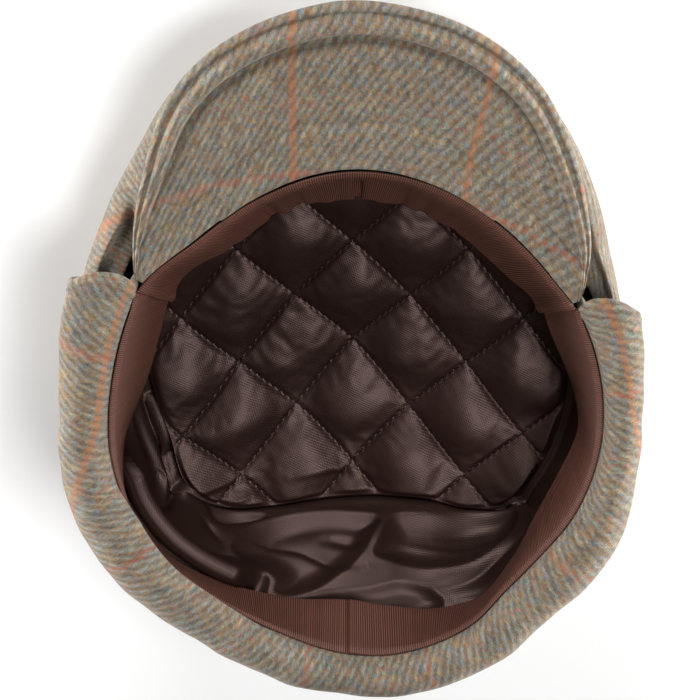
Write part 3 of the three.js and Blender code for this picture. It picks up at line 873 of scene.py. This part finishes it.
def make_band(material):
    fine = np.linspace(0, 360, 7201)
    run = lengths(place(fine, HEAD.rim(fine), headline_z(fine, HEAD.rim(fine))), 0)
    ribs = int(round(run[-1] / RIB))
    count = np.arange(ribs * RIB_STEPS + 1)[:, None] / RIB_STEPS
    bearing = np.interp(count[:-1] / ribs * run[-1], run, fine)
    share = np.concatenate([[0, 0.012, 0.03], np.linspace(0.06, 0.94, 13), [0.965, 0.985, 1]])
    share = share[None, :]
    # Its ribs fan out at the corners.
    away = signed(bearing)
    bearing = bearing + (5.0 * bell(away - 52, 7) - 4.0 * bell(away + 59, 7)) * share
    reach, z = band_at(bearing, share)
    inward = band_inward(bearing, share, place(bearing, reach, z))
    inner_reach, inner_z = left_of(reach - inward, z, -BAND_WALL)
    ridge = RIB_DEPTH * (np.abs(np.cos(np.pi * count[:-1])) ** 0.8 - 0.5)
    inner_reach = inner_reach - ridge * smoothstep(1 - share, 0.01, 0.035)
    # Its upper edge is caught in the seam, and lies deeper where the flap's roll sags over it.
    caught = 1 - smoothstep(share, 0, 0.075)
    under = 0.8 * between(bearing, *BAND_SUNK_SPAN) * caught
    outer = place(bearing, reach + 0.5 * caught, z - 0.4 * caught - under)
    inner = place(bearing, inner_reach + 0.9 * caught, inner_z - 0.5 * caught - under)
    rows = (1 - share) * BAND_WIDTH + 0 * bearing
    outer, inner = thin(outer, inner, edge_round(rows, BAND_EDGE))
    maps = {"rib": grid_map(count, share * BAND_WIDTH)}
    return skin("sweatband_ribbon", outer, inner, maps, True, material, "sweatband")


# ---- Linings ----

# The satin's soft lobes, each an outline by bearing and share of the way down to the panel, the
# height it stands up, in millimetres, and the width over which it rounds off.
LOBES = [
    ([(108, -0.1), (112, 0.06), (120, 0.14), (128, 0.17), (136, 0.22), (143, 0.25), (151, 0.30),
      (157.5, 0.26), (159.5, 0.19), (159, 0.09), (161, -0.1)], 4.6, 7.5),
    ([(147, 0.46), (150, 0.78), (157, 0.97), (166, 1.04), (178, 1.04), (191.5, 1.0), (187.5, 0.7),
      (183, 0.42), (177, 0.26), (171, 0.12), (164, 0.05), (160, 0.10), (161, 0.20), (158, 0.28),
      (152, 0.34)], 5.0, 11.0),
    ([(188.5, 0.62), (192.5, 1.0), (200, 1.05), (210, 1.05), (219, 1.0), (225, 0.8), (224, 0.5),
      (214, 0.43), (204, 0.40), (194, 0.42), (186, 0.48)], 5.4, 11.0),
    ([(170, 0.10), (176, 0.12), (183, 0.16), (188.5, 0.22), (193, 0.28), (198, 0.28), (201, 0.21),
      (203, 0.14), (202, 0.04), (193, -0.1), (179, -0.1), (166, -0.1), (164, 0.02)], 3.4, 6.5),
    ([(137, 1.02), (141, 0.86), (145, 0.77), (150, 0.86), (158, 1.0), (150, 1.04)], 3.0, 4.0),
]

# Its folds: a path the same way, the height of the fold, how softly it falls off on its left and
# right, and how square its shoulders are.
FOLDS = [
    ([(157, 0.62), (165, 0.57), (171.5, 0.42), (176.5, 0.34), (182.5, 0.36)], 1.6, 6.0, 1.5, 1.4),
    ([(172, 0.70), (178, 0.66), (184, 0.60)], 1.5, 3.6, 3.6, 2.0),
    ([(200, 0.22), (210, 0.25), (217.5, 0.32), (225, 0.34)], 2.4, 3.0, 5.0, 1.6),
    ([(205, 0.10), (214, 0.04)], 1.2, 2.0, 2.0, 1.4),
    ([(196, 0.68), (207, 0.60), (220, 0.60)], -1.0, 3.0, 5.0, 1.8),
    ([(141, 0.74), (144, 0.62), (146, 0.50)], 1.6, 1.6, 2.6, 1.4),
    ([(92, 0.74), (104, 0.72), (114, 0.68), (122, 0.58)], -2.4, 4.0, 5.5, 2.0),
    ([(92, 1.0), (108, 1.0), (117, 1.0), (126, 1.0), (131.5, 0.96), (132.5, 0.82), (130, 0.56),
      (126, 0.32), (121, 0.06)], 6.2, 2.2, 9.5, 1.15),
    ([(266, 1.0), (252.5, 1.0), (245, 1.0), (238, 1.0), (230.5, 0.99), (226, 0.90),
      (226.5, 0.72), (231, 0.45)], 3.4, 6.0, 1.8, 1.15),
]

# Where the satin flops over the sweatband: how far along it, then distance in from the band's
# outer side and up from its free edge. It takes up this share of the way down to the panel.
FLOP = [(0, 0.08, 0.16, 0.24, 0.36, 0.5, 0.64, 0.8, 1),
        (-2, -0.5, 2.2, 2.5, 2.8, 4.6, 7.8, 10.6, 12.4),
        (-0.5, -2.4, -1.6, 1.0, 4.6, 6.4, 6.6, 5.2, 2.4)]
FLOP_SHARE = 0.34
FLOP_SPAN = (104, 114, 148, 158)

# Along the sides the satin's seam stands up beside the panel; at the back it is tucked under it
# and dips. At one side the satin hangs in a bowl.
SEAM_STANDS = [(90, 98, 131, 137), (222, 227, 262, 270)]
SEAM_DIPS = (134, 146, 214, 224)
SEAM_DIP = 2.2
BOWL_SPAN = (97, 110, 125, 133)
BOWL = 8.5


def lobe_height(bearing, t, drop):
    """How far the satin stands up from its plain slope."""
    x, y = bearing * DEGREE + 0 * t, t * drop
    scale = np.array([DEGREE, np.mean(drop)])
    high = np.zeros(x.shape)
    for outline, height, soft in LOBES:
        line = rounded(outline * scale, True)
        distance, _, _ = to_path(x, y, line + line[:1])
        within = np.where(inside_outline(x, y, line), distance / soft, 0)
        high = np.maximum(high, height * quarter(within))
    for path, height, left, right, square in FOLDS:
        distance, side, along = to_path(x, y, rounded(path * scale, False))
        soft = np.where(side > 0, left, right)
        taper = np.sin(np.pi * np.clip(along, 0.06, 0.94)) ** 0.5
        high = high + height * taper * np.exp(-(distance / soft) ** square)
    return high


def plain_side(bearing, t):
    """The side lining before its folds: both faces, and shares of how its seam stands and dips."""
    reach, z = side_at(bearing, t)
    beyond = np.clip((t - 1) / 0.1, 0, 1) * np.pi / 2
    sides = sum(between(bearing, *span) for span in SEAM_STANDS)
    dip = between(bearing, *SEAM_DIPS)
    bowl = between(bearing, *BOWL_SPAN)
    reach = reach - lerp(5.5, 6.5, sides) * np.sin(beyond)
    z = z - lerp(1.6 * np.sin(beyond), 6.5 * (1 - np.cos(beyond)), sides)
    z = z - SEAM_DIP * dip * smoothstep(t, 0.84, 1.0) - BOWL * bowl * bell(t - 0.64, 0.22)
    return place(bearing, reach, z), place(bearing, *left_of(reach, z, -SATIN_WALL)), sides, dip


def flop_over(bearing, t, inner):
    """On one side the satin's fullness flops over the sweatband's free edge: how far it moves."""
    along = np.clip(t / FLOP_SHARE, 0, 1)
    inwards, upwards = (np.interp(along, FLOP[0], row) for row in FLOP[1:])
    edge_reach, edge_z = band_at(bearing, 1.0)
    lean = HEAD.lean(bearing) / BAND_WIDTH
    level = np.sqrt(1 - lean ** 2)
    over = place(bearing, edge_reach - inwards * level + upwards * lean,
                 edge_z + inwards * lean + upwards * level)
    much = between(bearing, *FLOP_SPAN) * (t > 0) * (1 - smoothstep(along, 0.78, 1.0))
    return (over - inner) * much[..., None]


SIDE_SHOWS = (84, 276)         # bearings between which the satin shows, with closer columns
SEAM_ROWS = (1.02, 1.04, 1.06, 1.08, 1.1)


def make_side(material):
    start, end = SIDE_SHOWS
    turn = np.concatenate([np.linspace(start, end, 610), np.linspace(end, start + 360, 90)[1:]])
    turn = turn[:, None]
    bearing = np.mod(turn[:-1], 360)
    t = np.concatenate([np.linspace(-0.3, 0, 8), np.linspace(0, 1, 54)[1:], SEAM_ROWS])[None, :]
    outer, inner, sides, dip = plain_side(bearing, t)
    seam = t.shape[1] - len(SEAM_ROWS) - 1
    drop = lengths(inner, 1)[:, seam:seam + 1]
    down = np.clip(t, 0, 1)
    pinned = smoothstep(t, -0.02, 0.05) * (1 - (1 - sides) * smoothstep(t, 0.86, 1.0))
    towards = -normals(inner, True)
    towards[:, seam:] = towards[:, seam - 2:seam - 1]
    swell = lobe_height(bearing, down, drop) - 1.6 * dip * bell(down - 0.95, 0.05)
    swell = swell + 0.35 * ripple(inner, scale=24, seed=51)
    swell = swell + 0.5 * ripple(inner, scale=60, seed=52)
    move = towards * (pinned * swell)[..., None]
    inner, outer = inner + move, outer + move
    shift = flop_over(bearing, t, inner)
    inner, outer = inner + shift, outer + shift
    outer, inner = thin(outer, inner, edge_round(from_ends(inner, 1), SATIN_EDGE))
    depth = lengths(inner, 1)
    maps = {"weave": grid_map(turn * DEGREE, np.concatenate([depth, depth[:1]]))}
    return skin("side_lining_satin", outer, inner, maps, True, material, "lining_side")


# ---- Quilted panel ----

QUILT_PITCH, QUILT_X, QUILT_Y = 44.0, -1.0, 22.3
QUILT_SPAN = QUILT_PITCH / math.sqrt(2)       # from one stitch line to the next
QUILT_RISE = 4.6
SCATTER = (12.9898, 78.233, 43758.5453)       # numbers that give each diamond its own value
# The pattern bows back at the sides, most near the middle of its length, and spreads at the back.
QUILT_BOW = SimpleNamespace(most=16.0, width=53.0, length=45.0, spread=0.13)
STITCH = 3.3                   # from one stitch to the next, in millimetres
PUCKER_REACH = 4.2             # how far from a stitch line the satin's puckers run
HEM = 3.4                      # width of the panel's turned edge

# Creases that the seam's corner pulls into the quilting: a path, the height and the width of each.
PULLS = [
    ([(62, 81), (54, 82.5), (46, 83.5), (38, 83)], 1.5, 1.5),
    ([(61, 78), (53, 78), (46, 76.5), (40, 76)], 0.9, 1.8),
    ([(24, 76), (12, 73.5), (0, 74.5), (-12, 76)], 0.8, 2.0),
]


def bow_of(x, flat):
    """How far the bowed quilting lies behind its flat cloth."""
    sideways = QUILT_BOW.most * (1 - bell(x, QUILT_BOW.width))
    return sideways * bell(flat, QUILT_BOW.length) + QUILT_BOW.spread * np.maximum(0, flat)


def from_flat_cloth(x, flat):
    return flat + QUILT_Y + bow_of(x, flat)


def stitch_counts(x, y):
    """How many stitch lines of each set lie before a point: whole numbers are on a line."""
    flat = y - QUILT_Y
    for _ in range(4):
        flat = y - QUILT_Y - bow_of(x, flat)
    return (x - QUILT_X + flat) / QUILT_PITCH, (x - QUILT_X - flat) / QUILT_PITCH


def from_stitching(x, y):
    """For each set of stitch lines, the distance to the nearest and how far along it."""
    a, b = stitch_counts(x, y)
    return [(np.abs(a - np.round(a)) * QUILT_SPAN, b * QUILT_SPAN),
            (np.abs(b - np.round(b)) * QUILT_SPAN, a * QUILT_SPAN)]


def panel_base(x, y):
    """Height of the quilted panel between its puffs, and the share of its reach."""
    bearing = np.degrees(np.arctan2(x, AXIS_Y - y))
    share = np.hypot(x, y - AXIS_Y) / LINING.panel(bearing)
    return panel_slope(bearing, share), share


def panel_slope(bearing, share):
    return PANEL_FLOOR + (LINING.panel_z(bearing) - PANEL_FLOOR) * share ** PANEL_DISH


def panel_points(steps):
    """The panel's round outline filled with a square grid: places with the height between the
    puffs, bearing, and distance in from the edge."""
    line = np.linspace(-1, 1, steps + 1)
    u, v = np.meshgrid(line, line, indexing="ij")
    across, back = u * np.sqrt(1 - v * v / 2), v * np.sqrt(1 - u * u / 2)
    share = np.hypot(across, back)
    bearing = np.degrees(np.arctan2(across, -back))
    reach = LINING.panel(bearing)
    points = place(bearing, reach * share, 0 * share)
    x, y = points[..., 0], points[..., 1]
    points[..., 2] = np.where(share > 0, panel_base(x, y)[0], PANEL_FLOOR)
    return points, bearing, (1 - share) * reach


def cut_puffs(x, y):
    """Rise of the quilting as it is sewn, a little different in each diamond, before its filling
    swells."""
    a, b = stitch_counts(x, y)
    cell = np.floor(a) * SCATTER[0] + np.floor(b) * SCATTER[1]
    vary = np.abs(np.modf(np.sin(cell) * SCATTER[2])[0])
    rise = QUILT_RISE * (0.85 + 0.35 * vary) * np.abs(np.sin(np.pi * a) * np.sin(np.pi * b)) ** 0.78
    flat = np.stack([x, y, 0 * x], -1)
    jitter = 1.6 * ripple(flat, scale=21, seed=61) * 3
    uneven = 0.3 * (1 + ripple(flat, scale=30, seed=63))
    pucker = 0
    for (away, along), wave, phase in zip(from_stitching(x, y), (7.3, 6.7), (jitter, -jitter)):
        fade = np.exp(-away / PUCKER_REACH) * (1 - np.exp(-away / 0.5))
        pucker = pucker + fade * np.sin(along * 2 * np.pi / wave + phase)
    return rise + 0.3 * uneven * pucker


# The cloth that is blown out: steps across it, the last frame, and how near to a stitch line and
# to the edge it is held, in millimetres.
BLOWN_STEPS = 99
BLOWN_FRAMES = 15
HELD_AT_STITCHES, HELD_AT_EDGE = 0.85, 1.2
BLOWN_CLOTH = dict(
    quality=5, mass=0.1, tension_stiffness=15, compression_stiffness=15, shear_stiffness=5,
    bending_stiffness=0.5, use_pressure=True, uniform_pressure_force=4.0, shrink_min=-0.008,
    vertex_group_mass="held")


def blow_out():
    """Rise of the quilting, from a cloth held at its stitches and edge and blown out between them."""
    points, _, inside = panel_points(BLOWN_STEPS)
    x, y, z = np.moveaxis(points.copy(), -1, 0)
    points[..., 2] += cut_puffs(x, y) * quarter(inside / HEM)
    (to_first, _), (to_second, _) = from_stitching(x, y)
    caught = (np.minimum(to_first, to_second) < HELD_AT_STITCHES) | (inside < HELD_AT_EDGE)

    mesh = bpy.data.meshes.new("blown")
    faces = grid_faces(BLOWN_STEPS + 1).tolist()
    mesh.from_pydata((points.reshape(-1, 3) * MM).tolist(), [], faces)
    sheet = bpy.data.objects.new("blown", mesh)
    scene = bpy.context.scene
    scene.collection.objects.link(sheet)
    held = sheet.vertex_groups.new(name=BLOWN_CLOTH["vertex_group_mass"])
    held.add(np.flatnonzero(caught.ravel()).tolist(), 1.0, "REPLACE")
    modifier = sheet.modifiers.new("blown", "CLOTH")
    for name, value in BLOWN_CLOTH.items():
        setattr(modifier.settings, name, value)
    modifier.settings.effector_weights.gravity = 0
    modifier.collision_settings.use_collision = False
    for moment in range(1, BLOWN_FRAMES + 1):
        scene.frame_set(moment)
    settled = sheet.evaluated_get(bpy.context.evaluated_depsgraph_get()).to_mesh()
    blown = np.empty(points.size, np.float32)
    settled.vertices.foreach_get("co", blown)
    height = blown.reshape(points.shape)[..., 2] / MM - z
    bpy.data.objects.remove(sheet)
    bpy.data.meshes.remove(mesh)
    scene.frame_set(1)
    return height


def make_puffs(finer):
    """A grid of the blown height above the stitch lines, finer by a whole number, and smoothed."""
    height = np.clip(blow_out(), 0, None)
    places = np.arange(BLOWN_STEPS + 1)
    spots = np.linspace(0, BLOWN_STEPS, finer * BLOWN_STEPS + 1)
    for _ in range(2):
        height = np.stack([np.interp(spots, places, row) for row in height.T])
    for _ in range(4):
        soft = np.pad(height, 1, "edge")
        soft = (soft[:-2] + 2 * soft[1:-1] + soft[2:]) / 4
        height = (soft[:, :-2] + 2 * soft[:, 1:-1] + soft[:, 2:]) / 4
    return height


def stitched(x, y, rise):
    """The rise drawn down to the stitch lines, with a pit at every stitch's end."""
    lines = from_stitching(x, y)
    flat = np.stack([x, y, 0 * x], -1)
    within = np.minimum(1, np.minimum(lines[0][0], lines[1][0]) / 6)
    slack = ripple(flat, scale=19, seed=62) + ripple(flat * [0.55, 1.7, 1.0], scale=25, seed=64)
    soft = 0.35 * slack * within
    for away, along in lines:
        rise = rise * (1 - bell(away, 0.8))
        soft = soft + 0.2 * bell(away, 0.7) * (np.cos(along * 2 * np.pi / STITCH) - 1.6)
    for path, height, width in PULLS:
        away, _, along = to_path(x, y, rounded(path, False))
        soft = soft + height * np.sin(np.pi * np.clip(along, 0.05, 0.95)) ** 0.5 * bell(away, width)
    return rise + soft


FINER = 3                      # steps of the finished panel for each step of the blown cloth
UNDERSIDE_RINGS = (1.0, 0.75, 0.5, 0.25, 0.03)


def make_panel(material):
    top, bearing, inside = panel_points(FINER * BLOWN_STEPS)
    at_sides = np.maximum(bell(bearing - 112, 26), bell(np.mod(bearing, 360) - 246, 22))
    hem = quarter(inside / (HEM - 1.2 * at_sides))
    top[..., 2] += stitched(top[..., 0], top[..., 1], make_puffs(FINER)) * hem

    # The border of the grid, taken round once, carries the plain underside.
    n = len(top)
    index = np.arange(n * n).reshape(n, n)
    border = np.concatenate([index[:-1, 0], index[-1, :-1], index[:0:-1, -1], index[0, :0:-1]])
    edge, part = bearing.ravel()[border], np.array(UNDERSIDE_RINGS)[:, None]
    under = place(edge, LINING.panel(edge) * part, panel_slope(edge, part) - PANEL_WALL)
    middle = [[0.0, AXIS_Y, PANEL_FLOOR - PANEL_WALL]]
    points = np.concatenate([top.reshape(-1, 3), under.reshape(-1, 3), middle])
    rings = np.concatenate([[border], np.arange(n * n, len(points) - 1).reshape(len(part), -1)])
    turned = np.roll(rings, -1, 1)
    quads = np.stack([rings[:-1], rings[1:], turned[1:], turned[:-1]], -1).reshape(-1, 4)
    quads = np.concatenate([grid_faces(n), quads])
    tip = np.stack([rings[-1], 0 * border + len(points) - 1, turned[-1]], -1)
    corners = np.concatenate([quads.ravel(), tip.ravel()])
    return add_piece("top_lining_quilted", points, quads.tolist() + tip.tolist(),
                     {"weave": points[corners][:, :2]}, material, "lining_top")


# ---- Stitches ----

# A stitch is a bead drawn out along its line: its rings, by share of its length and of its width.
BEAD_ENDS = (-0.5, 0.5)
BEAD_RINGS = [(-0.42, 0.62), (-0.22, 0.98), (0.22, 0.98), (0.42, 0.62)]
BEAD_SIDES = 6
BEAD_LENGTH = 2.5
BEAD_WIDTH = 0.5
BEAD_SUNK = 0.35               # how far its ends sink below its middle, as a share of its width
UNDER_PITS = 0.02              # how far it lies below the satin beside it, in millimetres
SEW_TO = 0.955                 # share of the panel's reach where the stitching stops


def bead():
    """A stitch's points, in millimetres along its line, aside and up, and its faces."""
    points = [(BEAD_ENDS[0], 0, 0)]
    for share, size in BEAD_RINGS:
        for angle in np.arange(BEAD_SIDES) * 2 * np.pi / BEAD_SIDES:
            points.append((share, size / 2 * np.cos(angle), size / 2 * np.sin(angle)))
    points.append((BEAD_ENDS[1], 0, 0))
    points = np.array(points) * [BEAD_LENGTH, BEAD_WIDTH, BEAD_WIDTH]
    points[:, 2] -= BEAD_SUNK * BEAD_WIDTH * (2 * points[:, 0] / BEAD_LENGTH) ** 2
    faces = []
    last = len(points) - 1
    for k in range(BEAD_SIDES):
        m = (k + 1) % BEAD_SIDES
        faces.append((0, 1 + m, 1 + k))
        for ring in range(1, last - BEAD_SIDES, BEAD_SIDES):
            faces.append((ring + k, ring + m, ring + m + BEAD_SIDES, ring + k + BEAD_SIDES))
        faces.append((last - BEAD_SIDES + k, last - BEAD_SIDES + m, last))
    return points, faces


def stitches(name, places, ways, material):
    """Short raised stitches along their ways, in one mesh."""
    way = unit(ways)
    aside = unit(np.cross([0.0, 0.0, 1.0], way))
    axes = np.stack([way, aside, np.cross(way, aside)], 1)
    points, faces = bead()
    verts = (places[:, None] + points @ axes).reshape(-1, 3)
    faces = [tuple(start + corner for corner in face)
             for start in range(0, len(verts), len(points)) for face in faces]
    return add_piece(name, verts, faces, {}, material)


def along_line(run, sign, k):
    """Places at distances along one stitch line, and their shares of the panel's reach."""
    turn = run / QUILT_SPAN
    x = QUILT_X + QUILT_PITCH / 2 * (k + turn)
    y = from_flat_cloth(x, sign * QUILT_PITCH / 2 * (k - turn))
    base, share = panel_base(x, y)
    return np.stack([x, y, base + stitched(x, y, 0)], -1), share


def make_quilting(material):
    """The stitches along both sets of diagonal lines."""
    places, ways = [], []
    run = np.arange(-60, 61) * STITCH
    for sign in (1, -1):
        for k in range(-6, 7):
            at, share = along_line(run, sign, k)
            ahead, _ = along_line(run + 0.4, sign, k)
            keep = share < SEW_TO
            places.append(at[keep])
            ways.append((ahead - at)[keep])
    places = np.concatenate(places) - [0, 0, UNDER_PITS]
    return stitches("quilting_thread", places, np.concatenate(ways), material)


# ---- Making ----

# The satins' colour between their floats, where painted shade falls; the second colour of each is
# painted sheen on the floats.
SATIN_DARK = srgb(9, 5, 4)
cloth = tweed()
crown = make_crown(cloth)
peak = make_peak(cloth)
flap = make_flap(cloth)
band = make_band(grosgrain())
plain = satin("plain_satin", SATIN_DARK, srgb(45, 28, 24))
quilted = satin("quilted_satin", SATIN_DARK, srgb(46, 28, 25))
side = make_side(plain)
panel = make_panel(quilted)
make_quilting(thread("quilting_thread", srgb(9, 5, 5)))

# ---- Floor, light and camera ----

FLOOR_HALF = 6.0
FLOOR_Z = -0.0003              # just under the cap, so that the two don't flicker

# Each light: its place, what it points at, its size, in metres, and its power in watts.
LIGHTS = {
    "overhead_softbox": ((-0.38, -0.3, 1.2), (0, 0, 0.05), 0.5, 12.6),
    "front_softbox": ((0.2, -1.15, 0.45), (0, 0.02, 0.05), 0.45, 12.5),
    "left_softbox": ((1.1, 0.05, 0.08), (0, 0, 0.05), 0.28, 30.0),
    "right_softbox": ((-1.1, 0.05, 0.08), (0, 0, 0.05), 0.28, 34.0)}
WORLD_STRENGTH = 0.1

# The cap is seen from behind and above, with the peak away from the viewer.
CAMERA_ELEVATION = 58.0
CAMERA_DISTANCE = 0.9
CAMERA_TARGET = Vector((SHIFT[0] * MM, SHIFT[1] * MM, 0.05))
SENSOR = 36.0
FOCAL_SHARE = 2448 / 700       # focal length over the picture's width


def make_floor():
    corners = [(-FLOOR_HALF, -FLOOR_HALF, 0), (FLOOR_HALF, -FLOOR_HALF, 0),
               (FLOOR_HALF, FLOOR_HALF, 0), (-FLOOR_HALF, FLOOR_HALF, 0)]
    mesh = bpy.data.meshes.new("floor")
    mesh.from_pydata(corners, [], [(0, 1, 2, 3)])
    g = Graph("pale_floor")
    g.put(g.shader.inputs["Base Color"], (0.86, 0.86, 0.86, 1))
    g.put(g.shader.inputs["Roughness"], 0.9)
    mesh.materials.append(g.material)
    ground = bpy.data.objects.new("floor", mesh)
    ground.location.z = FLOOR_Z
    bpy.context.scene.collection.objects.link(ground)


def make_light(name, place_at, target, size, power):
    data = bpy.data.lights.new(name, "AREA")
    data.shape = "SQUARE"
    data.size = size
    data.energy = power
    light = bpy.data.objects.new(name, data)
    light.location = place_at
    way = Vector(target) - Vector(place_at)
    light.rotation_euler = way.to_track_quat("-Z", "Y").to_euler()
    bpy.context.scene.collection.objects.link(light)


def make_camera(scene):
    tilt = math.radians(CAMERA_ELEVATION)
    right = Vector((-1, 0, 0))
    up = Vector((0, -math.sin(tilt), -math.cos(tilt)))
    back = Vector((0, -math.cos(tilt), math.sin(tilt)))
    lens = bpy.data.cameras.new("camera")
    lens.sensor_width = SENSOR
    lens.lens = FOCAL_SHARE * SENSOR
    camera = bpy.data.objects.new("camera", lens)
    turned = Matrix((right, up, back)).transposed()
    camera.matrix_world = turned.to_4x4()
    camera.matrix_world.translation = CAMERA_TARGET + back * CAMERA_DISTANCE
    scene.collection.objects.link(camera)
    scene.camera = camera


scene = bpy.context.scene
make_floor()
world = bpy.data.worlds.new("studio")
world.use_nodes = True
background = world.node_tree.nodes["Background"]
background.inputs["Color"].default_value = (1, 1, 1, 1)
background.inputs["Strength"].default_value = WORLD_STRENGTH
scene.world = world
for name, light in LIGHTS.items():
    make_light(name, *light)
scene.view_settings.view_transform = "Standard"
make_camera(scene)
